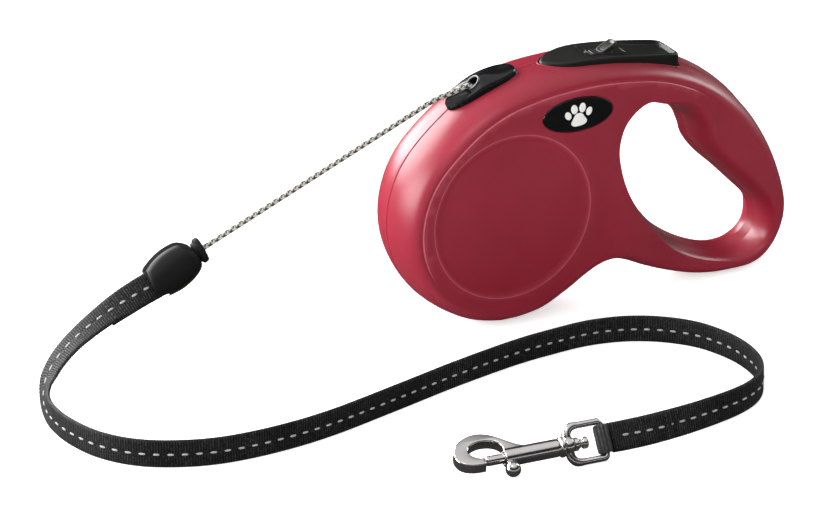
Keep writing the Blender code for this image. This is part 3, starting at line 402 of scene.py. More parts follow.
# ================================================================ materials
class Nodes:
    """Short names for the shader nodes; any value may be a number or another node's output."""

    def __init__(self, tree):
        self.tree = tree

    @cached_property
    def coords(self):
        return self.add("ShaderNodeTexCoord").outputs["Object"]

    def feed(self, socket, value):
        if isinstance(value, bpy.types.NodeSocket):
            self.tree.links.new(value, socket)
        else:
            socket.default_value = value

    def add(self, kind, **inputs):
        node = self.tree.nodes.new(kind)
        for key, value in inputs.items():
            self.feed(node.inputs[key], value)
        return node

    def noise(self, scale, detail=4, rough=0.55, vec=None):
        return self.add("ShaderNodeTexNoise", Scale=scale, Detail=detail, Roughness=rough,
                        Vector=vec or self.coords).outputs["Fac"]

    def mapping(self, scale, rotation=(0, 0, 0)):
        return self.add("ShaderNodeMapping", Scale=scale, Rotation=rotation,
                        Vector=self.coords).outputs["Vector"]

    def math(self, operation, *values, clamp=False):
        node = self.add("ShaderNodeMath")
        node.operation = operation
        node.use_clamp = clamp
        for i, value in enumerate(values):
            self.feed(node.inputs[i], value)
        return node.outputs[0]

    def remap(self, value, span, to=(0, 1)):
        """Carries the span of values to another, clamped."""
        return self.add("ShaderNodeMapRange", **{
            "From Min": span[0], "From Max": span[1], "To Min": to[0], "To Max": to[1],
            "Value": value}).outputs["Result"]

    def mix(self, factor, a, b):
        """Colour a where the factor is 0, b where it is 1."""
        node = self.add("ShaderNodeMix")
        node.data_type = "RGBA"
        colours = [s for s in node.inputs if s.type == "RGBA"]
        for socket, value in zip(colours, (a, b)):
            self.feed(socket, (*value, 1) if isinstance(value, tuple) else value)
        self.feed(node.inputs["Factor"], factor)
        return [s for s in node.outputs if s.type == "RGBA"][0]

    def bump(self, height, distance, strength=1.0, **normal):
        return self.add("ShaderNodeBump", Distance=distance, Strength=strength, Height=height,
                        **normal).outputs["Normal"]

    def attr(self, name):
        node = self.add("ShaderNodeAttribute")
        node.attribute_name = name
        return node.outputs["Fac"]

    def dot(self, a, b):
        node = self.add("ShaderNodeVectorMath")
        node.operation = "DOT_PRODUCT"
        self.feed(node.inputs[0], a)
        self.feed(node.inputs[1], b)
        return node.outputs["Value"]

    def edges(self, radius):
        """1 on edges, for edge wear."""
        geometry = self.add("ShaderNodeNewGeometry")
        bevel = self.add("ShaderNodeBevel", Radius=radius)
        bevel.samples = 4
        facing = self.dot(geometry.outputs["Normal"], bevel.outputs["Normal"])
        return self.remap(facing, span=(0.985, 0.9))


def shader(name, rgb, rough, metallic=0.0, sheen=0.0, specular=0.5):
    """A material, its node helper and its surface inputs."""
    mat = bpy.data.materials.new(name)
    mat.use_nodes = True
    surface = mat.node_tree.nodes["Principled BSDF"].inputs
    surface["Base Color"].default_value = (*rgb, 1)
    surface["Roughness"].default_value = rough
    surface["Metallic"].default_value = metallic
    surface["Coat Roughness"].default_value = 0.12
    surface["Sheen Weight"].default_value = sheen
    surface["Specular IOR Level"].default_value = specular
    return mat, Nodes(mat.node_tree), surface


def plastic(name, rgb, rough, specular=0.5, grain=0.00002, grain_scale=2600, vary=0.12,
            wear=0.0, wear_rgb=None, scuff=0.06, painted_highlight=None, scratched=True):
    """Moulded plastic: slow colour drift, fine grain, uneven gloss and worn edges.

    vary is the colour drift, scuff the spread of roughness; the second-last argument is a lighter
    colour, a painted highlight, laid where the mesh's attribute of the same name is 1.
    """
    mat, k, surface = shader(name, rgb, rough, specular=specular)
    dark = tuple(c * (1 - vary) for c in rgb)
    light = tuple(min(1, c * (1 + vary)) for c in rgb)
    drift = k.noise(scale=38, detail=3, rough=0.5)
    colour = k.mix(k.remap(drift, span=(0.3, 0.7)), dark, light)
    if wear:
        patches = k.remap(k.noise(scale=420), span=(0.45, 0.75), to=(0.0, wear))
        colour = k.mix(k.math("MULTIPLY", k.edges(radius=0.0006), patches), colour, wear_rgb)
    # Painted highlight: a lighter colour where the mesh's attribute marks an edge that catches the
    # light.
    if painted_highlight:
        patches = k.remap(k.noise(scale=300, detail=3), span=(0.3, 0.7), to=(0.6, 0.9))
        colour = k.mix(k.math("MULTIPLY", k.attr("painted_highlight"), patches), colour, painted_highlight)
    k.feed(surface["Base Color"], colour)
    if scratched:
        smear = k.noise(scale=90, detail=5, rough=0.65, vec=k.mapping(scale=(1.0, 1.0, 2.6)))
    else:
        smear = k.noise(scale=60, detail=2, rough=0.5)
    k.feed(surface["Roughness"],
           k.remap(smear, span=(0.3, 0.75), to=(rough - scuff, rough + scuff)))
    fine = k.noise(scale=grain_scale, detail=2, rough=0.5)
    normal = k.bump(fine, distance=grain, strength=0.6)
    if scratched:
        stretched = k.mapping(scale=(1.0, 0.06, 0.35), rotation=(0.4, 0.2, 0.7))
        scratch = k.noise(scale=1500, detail=2, rough=0.5, vec=stretched)
        normal = k.bump(k.remap(scratch, span=(0.55, 0.75)), distance=0.0000008, strength=0.25,
                        Normal=normal)
    k.feed(surface["Normal"], normal)
    return mat


def metal(name, rgb, rough, hairline=0.000005):
    """Plated or drawn metal: uneven polish, hairline scratches, a faint ripple and tarnish."""
    mat, k, surface = shader(name, rgb, rough, metallic=1.0)
    cloud = k.noise(scale=160, detail=5, rough=0.6)
    tarnish = k.remap(k.noise(scale=70, rough=0.7), span=(0.52, 0.8), to=(0.0, 0.35))
    k.feed(surface["Base Color"], k.mix(tarnish, rgb, tuple(c * 0.72 for c in rgb)))
    k.feed(surface["Roughness"],
           k.remap(cloud, span=(0.3, 0.75), to=(rough * 0.7, rough * 1.6)))
    ripple = k.bump(k.noise(scale=260, detail=2, rough=0.4), distance=0.000008, strength=0.4)
    hair = k.noise(scale=3200, detail=2, rough=0.6, vec=k.mapping(scale=(0.05, 1.0, 1.0)))
    k.feed(surface["Normal"], k.bump(k.remap(hair, span=(0.5, 0.75)), distance=hairline,
                                     strength=0.4, Normal=ripple))
    return mat


def braid_material():
    """Round braid: two families of strands cross; in each, two strands of every four are black."""
    mat, k, surface = shader("cord_braid", (0.72, 0.70, 0.63), rough=0.72, sheen=0.3)
    over = k.attr("over")       # 1 where family a lies on top

    def black(strand):
        # the offset is a multiple of four that keeps the strand numbers positive
        number = k.math("FLOOR", k.math("ADD", k.attr(strand), 800.0))
        return k.math("LESS_THAN", k.math("MODULO", number, 4.0), 1.5)

    top = k.math("ADD", k.math("MULTIPLY", black("strand_a"), over),
                 k.math("MULTIPLY", black("strand_b"), k.math("SUBTRACT", 1.0, over)))
    fibre = k.noise(scale=6000, detail=2, rough=0.6)
    pale = k.mix(k.remap(fibre, span=(0.3, 0.7)), (0.46, 0.44, 0.38), (0.74, 0.72, 0.65))
    # Painted shade: darker in the valleys between strands.
    pale = k.mix(k.math("MULTIPLY", k.attr("valley_shade"), 0.75), pale, (0.16, 0.15, 0.13))
    soil = k.remap(k.noise(scale=120, rough=0.6), span=(0.5, 0.8), to=(0.0, 0.3))
    pale = k.mix(soil, pale, (0.42, 0.39, 0.33))
    k.feed(surface["Base Color"], k.mix(top, pale, (0.028, 0.024, 0.02)))
    k.feed(surface["Normal"], k.bump(fibre, distance=0.00004, strength=0.6))
    return mat


def webbing_material(name, base, tops, sheen):
    """Ribbed webbing: ribs across, warp ends along; rib tops brighter as a painted highlight,
    grooves between warp ends darker as painted shade.
    """
    warp_pitch = 0.42           # mm, as the "across" attribute
    mat, k, surface = shader(name, base, rough=0.62, sheen=sheen, specular=0.35)
    surface["Sheen Roughness"].default_value = 0.35
    surface["Sheen Tint"].default_value = (0.75, 0.75, 0.78, 1)
    rib = k.attr("rib")
    warp = k.math("SINE", k.math("MULTIPLY", k.attr("across"), 2 * math.pi / warp_pitch))
    fibre = k.noise(scale=5200, detail=3, rough=0.6)
    band = k.remap(k.noise(scale=60, detail=3, rough=0.5), span=(0.35, 0.7), to=(0.55, 1.25))
    # Painted highlight: speckles of lit threads on the rib tops, in the lighter colour.
    threads = k.noise(scale=1500, detail=2)
    lit = k.math("MULTIPLY", k.remap(threads, span=(0.42, 0.66), to=(0.05, 1.0)),
                 k.remap(fibre, span=(0.3, 0.7), to=(0.3, 1.0)))
    rib_highlight = k.math("MULTIPLY", k.math("POWER", rib, 1.6), band)
    colour = k.mix(k.math("MULTIPLY", rib_highlight, lit, clamp=True), base, tops)
    # Painted shade: darker in the grooves between warp ends.
    colour = k.mix(k.remap(warp, span=(-1, 1), to=(0.28, 0.0)), colour, (0.004, 0.004, 0.004))
    dust = k.remap(k.noise(scale=2200, detail=2, rough=0.5), span=(0.68, 0.8), to=(0.0, 0.25))
    k.feed(surface["Base Color"], k.mix(dust, colour, (0.12, 0.12, 0.12)))
    height = k.math("ADD", k.math("MULTIPLY", warp, 0.35), k.math("MULTIPLY", fibre, 0.9))
    k.feed(surface["Normal"], k.bump(height, distance=0.00006, strength=0.7))
    k.feed(surface["Roughness"], k.remap(rib, span=(0, 1), to=(0.85, 0.5)))
    return mat


def thread_material():
    """Pale twisted thread."""
    mat, k, surface = shader("stitch_thread", (0.5, 0.5, 0.48), rough=0.7, sheen=0.1)
    ply = k.math("SINE", k.math("MULTIPLY", k.attr("twist"), 6.2832))
    k.feed(surface["Base Color"], k.mix(k.remap(ply, span=(-1, 1), to=(0, 0.5)),
                                        (0.44, 0.44, 0.43), (0.16, 0.16, 0.155)))
    k.feed(surface["Normal"], k.bump(ply, distance=0.00008, strength=0.7))
    return mat


def wound_material():
    """Cord wound in layers on the drum."""
    mat, k, surface = shader("wound_cord", (0.6, 0.58, 0.52), rough=0.75, sheen=0.2)
    wave = k.add("ShaderNodeTexWave", Scale=70, Distortion=1.0, Vector=k.coords)
    wave.wave_type, wave.bands_direction = "BANDS", "Y"
    turns = wave.outputs["Fac"]
    # Painted shade: dark bands in the grooves between turns.
    k.feed(surface["Base Color"], k.mix(turns, (0.25, 0.24, 0.2), (0.72, 0.70, 0.62)))
    k.feed(surface["Normal"], k.bump(turns, distance=0.0006, strength=0.8))
    return mat


# The lighter pink is a painted highlight along the crease and round the label recess.
CRIMSON = plastic("casing_crimson", (0.27, 0.0125, 0.030), rough=0.36, grain=0.000022,
                  grain_scale=2300, vary=0.07, painted_highlight=(0.56, 0.115, 0.165), scratched=False)
BUTTON_BLACK = plastic("button_black", (0.0078, 0.0082, 0.0072), rough=0.42, specular=0.30,
                       grain=0.00003, grain_scale=3200, wear=0.35, wear_rgb=(0.07, 0.07, 0.068))
GUIDE_BLACK = plastic("guide_black", (0.0045, 0.0045, 0.0055), rough=0.26, specular=0.40,
                      grain=0.000008, grain_scale=1500, scuff=0.05)
BOBBIN_BLACK = plastic("bobbin_black", (0.0050, 0.0056, 0.0052), rough=0.5, specular=0.2,
                       grain=0.00003, wear=0.3, wear_rgb=(0.06, 0.06, 0.06))
# The far bobbin half in a lighter grey than the near half: painted highlight for the light strip
# along its ridge.
BOBBIN_FAR_HIGHLIGHT = plastic("bobbin_far_highlight_grey", (0.020, 0.021, 0.020), rough=0.36, grain=0.00003)
BADGE_BLACK = plastic("badge_black", (0.005, 0.005, 0.0055), rough=0.10, specular=0.35,
                      grain=0.000003, scuff=0.03)
BADGE_PRINT = plastic("badge_print", (0.80, 0.79, 0.76), rough=0.35, grain=0.00001, vary=0.04)
SLIDER_GREY = plastic("slider_grey", (0.022, 0.022, 0.022), rough=0.36, wear=0.5,
                      wear_rgb=(0.16, 0.16, 0.16))
SLIDER_RIM = plastic("slider_rim", (0.10, 0.10, 0.10), rough=0.42, wear=0.4,
                     wear_rgb=(0.3, 0.3, 0.3))
ACETAL = plastic("spool_acetal", (0.55, 0.55, 0.52), rough=0.45)
NICKEL = metal("bright_nickel", (0.67, 0.635, 0.64), rough=0.16)
EYELET_STEEL = metal("eyelet_steel", (0.14, 0.137, 0.145), rough=0.38)
STEEL = metal("zinc_steel", (0.52, 0.52, 0.53), rough=0.3, hairline=0.000011)
SPRING = metal("spring_steel", (0.28, 0.29, 0.31), rough=0.32, hairline=0.000011)
BRASS = metal("ferrule_brass", (0.68, 0.48, 0.2), rough=0.3)
TACK_THREAD = plastic("tack_thread", (0.03, 0.03, 0.03), rough=0.7, grain=0.00006,
                      grain_scale=5200)
BRAID = braid_material()
# The second colour of each webbing material is a painted highlight on the rib tops.
WEBBING = webbing_material("webbing_black", base=(0.0022, 0.0022, 0.0024),
                           tops=(0.105, 0.105, 0.107), sheen=0.03)
# A lighter copy of the webbing for its turns round the pin and the eye: painted sheen where the
# curved webbing catches the light.
WEBBING_PAINTED_SHEEN = webbing_material("webbing_fold", base=(0.02, 0.02, 0.021),
                                tops=(0.15, 0.15, 0.155), sheen=0.6)
THREAD = thread_material()

# CAD pieces that keep their shape and only get a material
for mat, pieces in (
        (STEEL, "casing_screw_1 casing_screw_2 casing_screw_3 casing_screw_4 spool_axle "
                "axle_washer_left axle_washer_right spring_arbor brake_pivot_pin bobbin_pin "
                "ratchet_ring"),
        (SPRING, "mainspring brake_return_spring bolt_spring"),
        (ACETAL, "spool_drum spring_cover"),
        (wound_material(), "cord_windings"),
        (BRASS, "cord_ferrule"),
        (BUTTON_BLACK, "brake_lever")):
    for piece in pieces.split():
        mesh = frame["nodes"][piece].data
        mesh.materials.clear()
        mesh.materials.append(mat)

# ================================================================ casing
STEP = -0.30          # the side panel stands this much proud of the rim
# Rings over the crease, from the panel outward: extra inset, rise over the rim's height
# (None follows the panel), and the share of painted highlight, a light line where the crease
# catches the light
CREASE = [(0.74, None, 0.3), (0.60, 0.29, 1.0), (0.46, 0.22, 1.0), (0.20, -0.05, 0.35),
          (0.10, -0.07, 0.0)]
# Edge of the label recess: radii, and the depth at each
LABEL_EDGE = (LABEL_R + np.array([-2.6, -1.9, -1.1, -0.14, 0.12, 0.38]),
              [0.5, 0.43, 0.24, 0.05, -0.22, 0.0])
PANEL_GRID = 2.3      # spacing of the points inside the side panel

OUTER = closed_spline(OUTLINE, 8)
OUTER[:, 1] = np.maximum(OUTER[:, 1], 0.0)
INNER = closed_spline(HOLE, 8)
OUTER_N, INNER_N = edge_normals(OUTER), edge_normals(INNER)


def half_at(x, z):
    """Half thickness of the casing: thinner at the grip and thinner again low behind the body."""
    low = np.clip((x - 46) / 26, 0, 1) * np.clip((30 - z) / 22, 0, 1)
    return CASE_HALF - 3.0 * ease(x, 44, 56) - 2.4 * ease(low)


def step_depth(x, z):
    """How far the panel sits below the rim (negative: above it); fades at the foot and grip."""
    return STEP * ease(z, 20, 16) * (1 - ease(x, 72, 10))


def panel_y(x, z):
    return half_at(x, z) - step_depth(x, z)


def nearest(P, Q):
    return np.sqrt(((P[:, None] - Q[None]) ** 2).sum(-1)).min(1)


def soft_least(a, b):
    return (a**-4.0 + b**-4.0) ** -0.25


def evened(values):
    for _ in range(6):
        values = 0.25 * np.roll(values, 1) + 0.5 * values + 0.25 * np.roll(values, -1)
    return values


def outer_inset():
    """Width of the rounded rim, kept under half the way to the hole."""
    x, z = OUTER.T
    want = 5.5 + 1.6 * ease(x, 50, 40) - 1.4 * ease(x, 46, 24) * ease(z, 22, -16)
    return evened(soft_least(want, 0.46 * nearest(OUTER, INNER)))


def hole_inset():
    """Width of the hole's rounded edge, wider on the grip side."""
    x, z = INNER.T
    grip = ease(INNER_N[:, 0] * 0.8 + INNER_N[:, 1] * 0.6, -0.1, 0.9)
    want = 2.4 + 4.2 * grip * ease(x, 60, 15) + 0.8 * ease(z, 30, -20)
    return evened(soft_least(want, 0.46 * nearest(INNER, OUTER)))


OUTER_INSET, HOLE_INSET = outer_inset(), hole_inset()


def inside(P, loop):
    """Which points lie inside a closed loop."""
    x, y = P[:, 0][:, None], P[:, 1][:, None]
    ax, ay = loop[:, 0][None], loop[:, 1][None]
    bx, by = np.roll(loop[:, 0], -1)[None], np.roll(loop[:, 1], -1)[None]
    rise = np.where(by == ay, 1e-9, by - ay)
    crossed = ((ay > y) != (by > y)) & (x < ax + (y - ay) * (bx - ax) / rise)
    return crossed.sum(1) % 2 == 1


def edge_rings(edge, normals, inset, other_edge, sign, side):
    """Rings from the panel over the crease and the rounded shoulder to the parting plane.

    sign is -1 on the outline and 1 on the hole. Also gives each ring's share of painted highlight.
    """
    inward = sign * normals
    full = edge + inward * inset[:, None]
    step = step_depth(full[:, 0], full[:, 1])
    height = half_at(full[:, 0], full[:, 1])
    if sign > 0:
        height = height - step
    fade = step / STEP if sign < 0 else 0.0 * height
    narrow = np.minimum(1.0, nearest(edge, other_edge) * 0.04)
    made, marks = [], []
    for extra, rise, painted_highlight in CREASE:
        q = edge + inward * (inset + extra * narrow)[:, None]
        made.append(upright(q, panel_y(*q.T) if rise is None else height + fade * rise))
        marks.append(painted_highlight * fade)
    last = 5.0 if side > 0 else 4.0
    for phi in np.radians(np.concatenate([np.linspace(90, 12, 14), [last]])):
        q = edge + inward * (inset * (1 - math.cos(phi)))[:, None]
        made.append(upright(q, height * math.sin(phi)))
    y_part = (PART_Y + 0.03 * side) * side
    made.append(upright(edge, y_part + 0.36))
    made.append(upright(edge + inward * 0.34, y_part))
    marks += [np.zeros(len(edge))] * (len(made) - len(marks))
    return made, marks


def side_panel(outer_ring, hole_ring, outer_marks):
    """The triangulated panel between the two rings: points, faces and painted-highlight values."""
    outer, hole = outer_ring[:, [0, 2]], hole_ring[:, [0, 2]]
    th = turn(180)
    circle = np.column_stack([np.cos(th), np.sin(th)])
    loops = [outer, hole, *[np.array([0, AXLE_Z]) + circle * r for r in LABEL_EDGE[0]]]
    loops += [BADGE + oval(BADGE_A + gap, BADGE_B + gap, 96, 2.0) for gap in (0.4, 0.2)]
    gx, gz = np.meshgrid(np.arange(-40, 118, PANEL_GRID), np.arange(1, 94, PANEL_GRID))
    fill = np.column_stack([gx.ravel(), gz.ravel()])
    fill = fill[inside(fill, outer) & ~inside(fill, hole)]
    for loop in loops:
        fill = fill[nearest(fill, loop) > 1.1]
    flat = np.vstack(loops + [fill])
    edges, first = [], 0
    for loop in loops:
        n = len(loop)
        edges += [(first + i, first + (i + 1) % n) for i in range(n)]
        first += n
    _, _, triangles, origin, _, _ = delaunay_2d_cdt([Vector(p) for p in flat], edges, [], 0, 1e-7)

    x, z = flat.T
    label_r = np.hypot(x, z - AXLE_Z)
    in_badge = ((x - BADGE[0]) / (BADGE_A + 0.3)) ** 2 + ((z - BADGE[1]) / (BADGE_B + 0.3)) ** 2
    drop = np.maximum(np.interp(label_r, *LABEL_EDGE), np.where(in_badge < 1.0, 0.75, 0.0))
    y = panel_y(x, z) - drop
    n_outer, n_hole = len(outer), len(hole)
    y[:n_outer] = outer_ring[:, 1]
    y[n_outer:n_outer + n_hole] = hole_ring[:, 1]
    # Painted highlight: a light line just outside the edge of the label recess.
    painted_highlight = np.interp(label_r, LABEL_R + np.array([-0.3, -0.1, 0.1, 0.2, 0.4]),
                       [0, 0.3, 0.85, 0.85, 0])
    painted_highlight[:n_outer] = outer_marks

    faces = [[origin[i][0] for i in t] for t in triangles]
    middles = np.array([flat[f].mean(0) for f in faces])
    keep = inside(middles, outer) & ~inside(middles, hole)
    return upright(flat, y), [f for f, k in zip(faces, keep) if k], painted_highlight


def shell(name, side):
    """Half of the casing: side panel, rim, finger-hole edge and walls."""
    around = edge_rings(OUTER, OUTER_N, OUTER_INSET, INNER, -1, side)
    hole = edge_rings(INNER, INNER_N, HOLE_INSET, OUTER, 1, side)
    panel, faces, painted_highlight = side_panel(around[0][0], hole[0][0], around[1][0])
    verts, marks, total = [panel], [painted_highlight], len(panel)
    for first, (made, made_marks) in ((0, around), (len(OUTER), hole)):
        n = len(made[0])
        before = np.arange(first, first + n)
        for ring, mark in zip(made[1:], made_marks[1:]):
            verts.append(ring)
            marks.append(mark)
            now = np.arange(total, total + n)
            total += n
            for i in range(n):
                j = (i + 1) % n
                faces.append((before[i], before[j], now[j], now[i]))
            before = now
    verts = np.vstack(verts)
    verts[:, 1] *= side
    # The attribute carries the painted highlight of the crease and the label's edge.
    o = add(name, verts, faces, CRIMSON, {"painted_highlight": np.concatenate(marks)})
    outermost = max(o.data.polygons, key=lambda f: side * f.center.y)
    if outermost.normal.y * side < 0:
        o.data.flip_normals()
    wall = o.modifiers.new("wall", "SOLIDIFY")
    wall.thickness, wall.offset = WALL * MM, -1
    wall.use_even_offset, wall.use_rim = False, True
    return o


def plan_loop(offset=0.0, steps=6):
    """The button's closed plan, grown by an offset."""
    loop = [(x, -y) for x, y in BUTTON_PLAN] + [(x, y) for x, y in reversed(BUTTON_PLAN[1:])]
    plan = closed_spline(loop, steps)
    return plan + edge_normals(plan) * offset


def guide_map(a, b, c):
    return GUIDE + GUIDE_ALONG * a + Vector((0, 1, 0)) * b + GUIDE_UP * c


for tag, side in (("left", -1), ("right", 1)):
    casing = shell("shell_" + tag, side)
    seat = oval(GUIDE_A + 0.22, GUIDE_B + 0.22) + np.array([0, GUIDE_Y])
    cutters = [prism("k_slot", plan_loop(0.35), 76, 101, lambda a, b, c: (a, b, c)),
               prism("k_guide", seat, -7, 7, guide_map)]
    if side > 0:
        for i, (x, z) in enumerate(SCREWS):
            face = float(half_at(x, z))
            cutters.append(bore(f"k_screw{i}", 2.55, face - 2.7, face + 3, (x, 0, z),
                                (0, 1, 0), 32))
    cut(casing, cutters, angle=34, solver="MANIFOLD", weighted=False)
    casing.visible_glossy = False
    fit(casing, "casing", "casing_" + tag)

# ---------------------------------------------------------------- badge
BADGE_BASE = CASE_HALF - float(step_depth(BADGE[0], BADGE[1])) - 0.1
BADGE_DOME, BADGE_FALL = 0.52, 0.22       # height at the centre, and the fall to the edge
# Scale of the oval, height over the base
BADGE_ROWS = [(1.0, -0.6), (1.0, 0.02), (0.993, 0.14), (0.978, 0.22), (0.955, 0.26), (0.9, 0.30),
              (0.75, 0.38), (0.5, 0.46), (0.25, 0.50), (0.02, 0.52)]
# Toe pads: x, z, half width, half height, turn in degrees
TOES = [(-3.75, 0.35, 1.05, 1.45, 24), (-1.45, 2.05, 1.15, 1.6, 8),
        (1.45, 2.05, 1.15, 1.6, -8), (3.75, 0.35, 1.05, 1.45, -24)]
# Scale of a pad, height over the badge
PAD_ROWS = [(1.0, -0.05), (1.0, 0.05), (0.95, 0.11), (0.85, 0.13), (0.4, 0.15), (0.02, 0.15)]
PAW_SCALE, PAW_LEAN = 1.12, 4.0


def paw_pads():
    """The four toes and the main pad as plans about the badge's centre."""
    t = turn(40)
    pads = [np.array([x, z]) + rotated(np.column_stack([a * np.cos(t), b * np.sin(t)]), degrees)
            for x, z, a, b, degrees in TOES]
    t = turn(64)
    r = 1 + 0.13 * np.cos(3 * (t - np.pi / 2)) - 0.05 * np.cos(2 * t)
    pads.append(np.column_stack([2.75 * r * np.cos(t), -1.95 + 2.1 * r * np.sin(t)]))
    return pads


def badge(tag, side):
    """A domed oval with a raised paw print."""
    rows = [upright(BADGE + oval(BADGE_A * scale, BADGE_B * scale, 96, 2.0),
                    side * (BADGE_BASE + height)) for scale, height in BADGE_ROWS]
    fit(rings("badge_oval_" + tag, rows, BADGE_BLACK), "casing", "badge_" + tag)

    def dome(x, z):
        away = np.sqrt(((x - BADGE[0]) / BADGE_A) ** 2 + ((z - BADGE[1]) / BADGE_B) ** 2)
        return BADGE_BASE + BADGE_DOME - BADGE_FALL * away**2

    pads = []
    for i, pad in enumerate(paw_pads()):
        pad = rotated(pad * PAW_SCALE, PAW_LEAN)
        middle = pad.mean(0)
        rows = []
        for scale, height in PAD_ROWS:
            plan = middle + (pad - middle) * scale + BADGE + np.array([0, 0.1])
            rows.append(upright(plan, side * (dome(*plan.T) + height)))
        pads.append(rings(f"paw_{tag}_{i}", rows, BADGE_PRINT))
    fit(merge("paw_print_" + tag, pads), "casing")


badge("left", -1)
badge("right", 1)

# ---------------------------------------------------------------- cord guide and eyelet
EYELET_RING = EYELET + Vector((0.9, 0, 1.2))
EYELET_AXIS = Vector((-0.70, 0.0, 0.71)).normalized()
# Edge of the guide: scale of its oval, lift over the casing, share of the side-to-side lean
GUIDE_EDGE = [(1.0, 0.25, 0), (0.994, 0.75, 1), (0.975, 1.15, 1), (0.95, 1.38, 1),
              (0.92, 1.50, 1)]
# Flared mouth round the cord: radius, distance out from the eyelet
MOUTH = [(0, -1.0), (2.86, -1.0), (2.86, 0.3), (3.3, 1.6), (3.8, 3.4), (4.4, 6.2), (4.9, 9.0),
         (5.2, 13), (0, 13)]


def top_table():
    """Along the guide's direction: position, then x, z, normal x, normal z and inset."""
    top = OUTER[:, 1] > 70
    along = ((OUTER[:, 0] - GUIDE.x) * GUIDE_ALONG.x + (OUTER[:, 1] - GUIDE.z) * GUIDE_ALONG.z)[top]
    order = np.argsort(along)
    columns = np.column_stack([OUTER, OUTER_N, OUTER_INSET])[top][order]
    return along[order], columns.T


TOP_ALONG, TOP_COLUMNS = top_table()


def crown(along, y):
    """Points and normals on the casing's rounded top."""
    px, pz, nx, nz, inset = (np.interp(along, TOP_ALONG, c) for c in TOP_COLUMNS)
    drop = inset * (1 - np.sqrt(np.maximum(0, 1 - (y / CASE_HALF) ** 2)))
    return (np.stack([px - nx * drop, y, pz - nz * drop], -1), np.stack([nx, 0 * y, nz], -1))


def guide():
    """An oval plate that follows the casing's top, with a hump, a mouth and a way for the cord."""
    def on_top(scale):
        plan = oval(GUIDE_A * scale, GUIDE_B * scale, 128)
        return crown(plan[:, 0], plan[:, 1] + GUIDE_Y)

    rows = [on_top(1.0)[0] - np.array(GUIDE_UP) * 3.2]
    top = [(r, 1.48 + 0.42 * (1 - r**4), 1) for r in np.linspace(0.89, 0.02, 30)]
    for scale, lift, lean in GUIDE_EDGE + top:
        p, normal = on_top(scale)
        hump = 2.2 * np.exp(-((p[:, 0] + 4.2) / 5.2) ** 2 - (p[:, 1] / 3.9) ** 2)
        up = lift + (0.9 * ease(p[:, 1], 0, 6.0) + 0.35) * lean
        rows.append(p + normal * (up + hump)[:, None])
    o = rings("guide_body", rows, GUIDE_BLACK)
    cut(o, [tube("k_way", open_spline(GUIDE_WAY, 6), 1.75, None, 32),
            bore("k_well", 2.5, -3.6, 4.0, EYELET_RING, EYELET_AXIS, 64),
            lathe("k_mouth", MOUTH, EYELET, -EYE_DIR, None, 72)], angle=32)
    fit(o, "casing", "cord_guide")


def eyelet():
    t = np.linspace(0, 2 * np.pi, 33)
    profile = np.column_stack([2.62 + 0.46 * signed_power(np.cos(t), 0.8),
                               0.10 + 0.60 * signed_power(np.sin(t), 0.9)])
    o = lathe("eyelet_ring", profile, EYELET_RING, EYELET_AXIS, EYELET_STEEL, 80)
    fit(o, "casing", "cord_eyelet")


guide()
eyelet()

# ================================================================ brake button
PLAN = plan_loop(steps=10)
LEFT_EDGE = PLAN[PLAN[:, 1] <= 1e-9]
LEFT_EDGE = LEFT_EDGE[np.argsort(LEFT_EDGE[:, 0])]
TOP_LINE = open_spline(BUTTON_TOP, 10)
BUTTON_FRONT, BUTTON_BACK = 18.6, 72.0
# Grid lines, closer towards the ends and edges: steps in from each
FRONT_STEPS = [0.02, 0.06, 0.14, 0.28, 0.5, 0.8, 1.2, 1.7, 2.3, 3.0]
BACK_STEPS = [3.6, 3.1, 2.6, 2.2, 1.8, 1.45, 1.15, 0.9, 0.68, 0.5, 0.35, 0.22, 0.12, 0.05, 0.01]
EDGE_STEPS = np.array([0, 0.08, 0.2, 0.35, 0.55, 0.8, 1.1, 1.4, 1.7, 2.0, 2.4, 3.0, 3.8, 4.8,
                       6.0, 7.4])
# Foot of the button's skirt: x, z
SKIRT_X, SKIRT_Z = [18.0, 24, 30, 40, 60, 76], [91.2, 90.4, 88.6, 86.2, 83.2, 80.8]
TRACK_SLOPE = 0.067   # fall of the slider's track towards the back


def plan_distance(P):
    """Distance of each point to the button's plan."""
    best = np.full(len(P), 1e9)
    for a, edge in zip(PLAN, np.roll(PLAN, -1, 0) - PLAN):
        length2 = edge @ edge
        if length2 < 1e-12:
            continue
        u = np.clip(((P - a) @ edge) / length2, 0, 1)
        q = a + u[:, None] * edge
        best = np.minimum(best, np.sqrt(((P - q) ** 2).sum(1)))
    return best


def button_height(x, y, inset):
    """Top of the button at a distance inside its edge."""
    z = np.interp(x, TOP_LINE[:, 0], TOP_LINE[:, 1])
    r = 0.95          # edge radius
    rounding = r - np.sqrt(np.maximum(0, r * r - (r - np.minimum(inset, r)) ** 2))
    edge = np.where(inset < r, rounding, 0.0)
    front_crown = -0.35 * ease(x, 34, -12) * (y / 8.5) ** 2
    pad_end = 34.6 + 0.10 * y         # the front pad's rear edge runs a little aslant
    well = ease(x, pad_end, 2.2) * ease(inset, 1.25, 0.9) * (0.85 + 0.75 * ease(x, 50, 14))
    return z - edge + front_crown - well


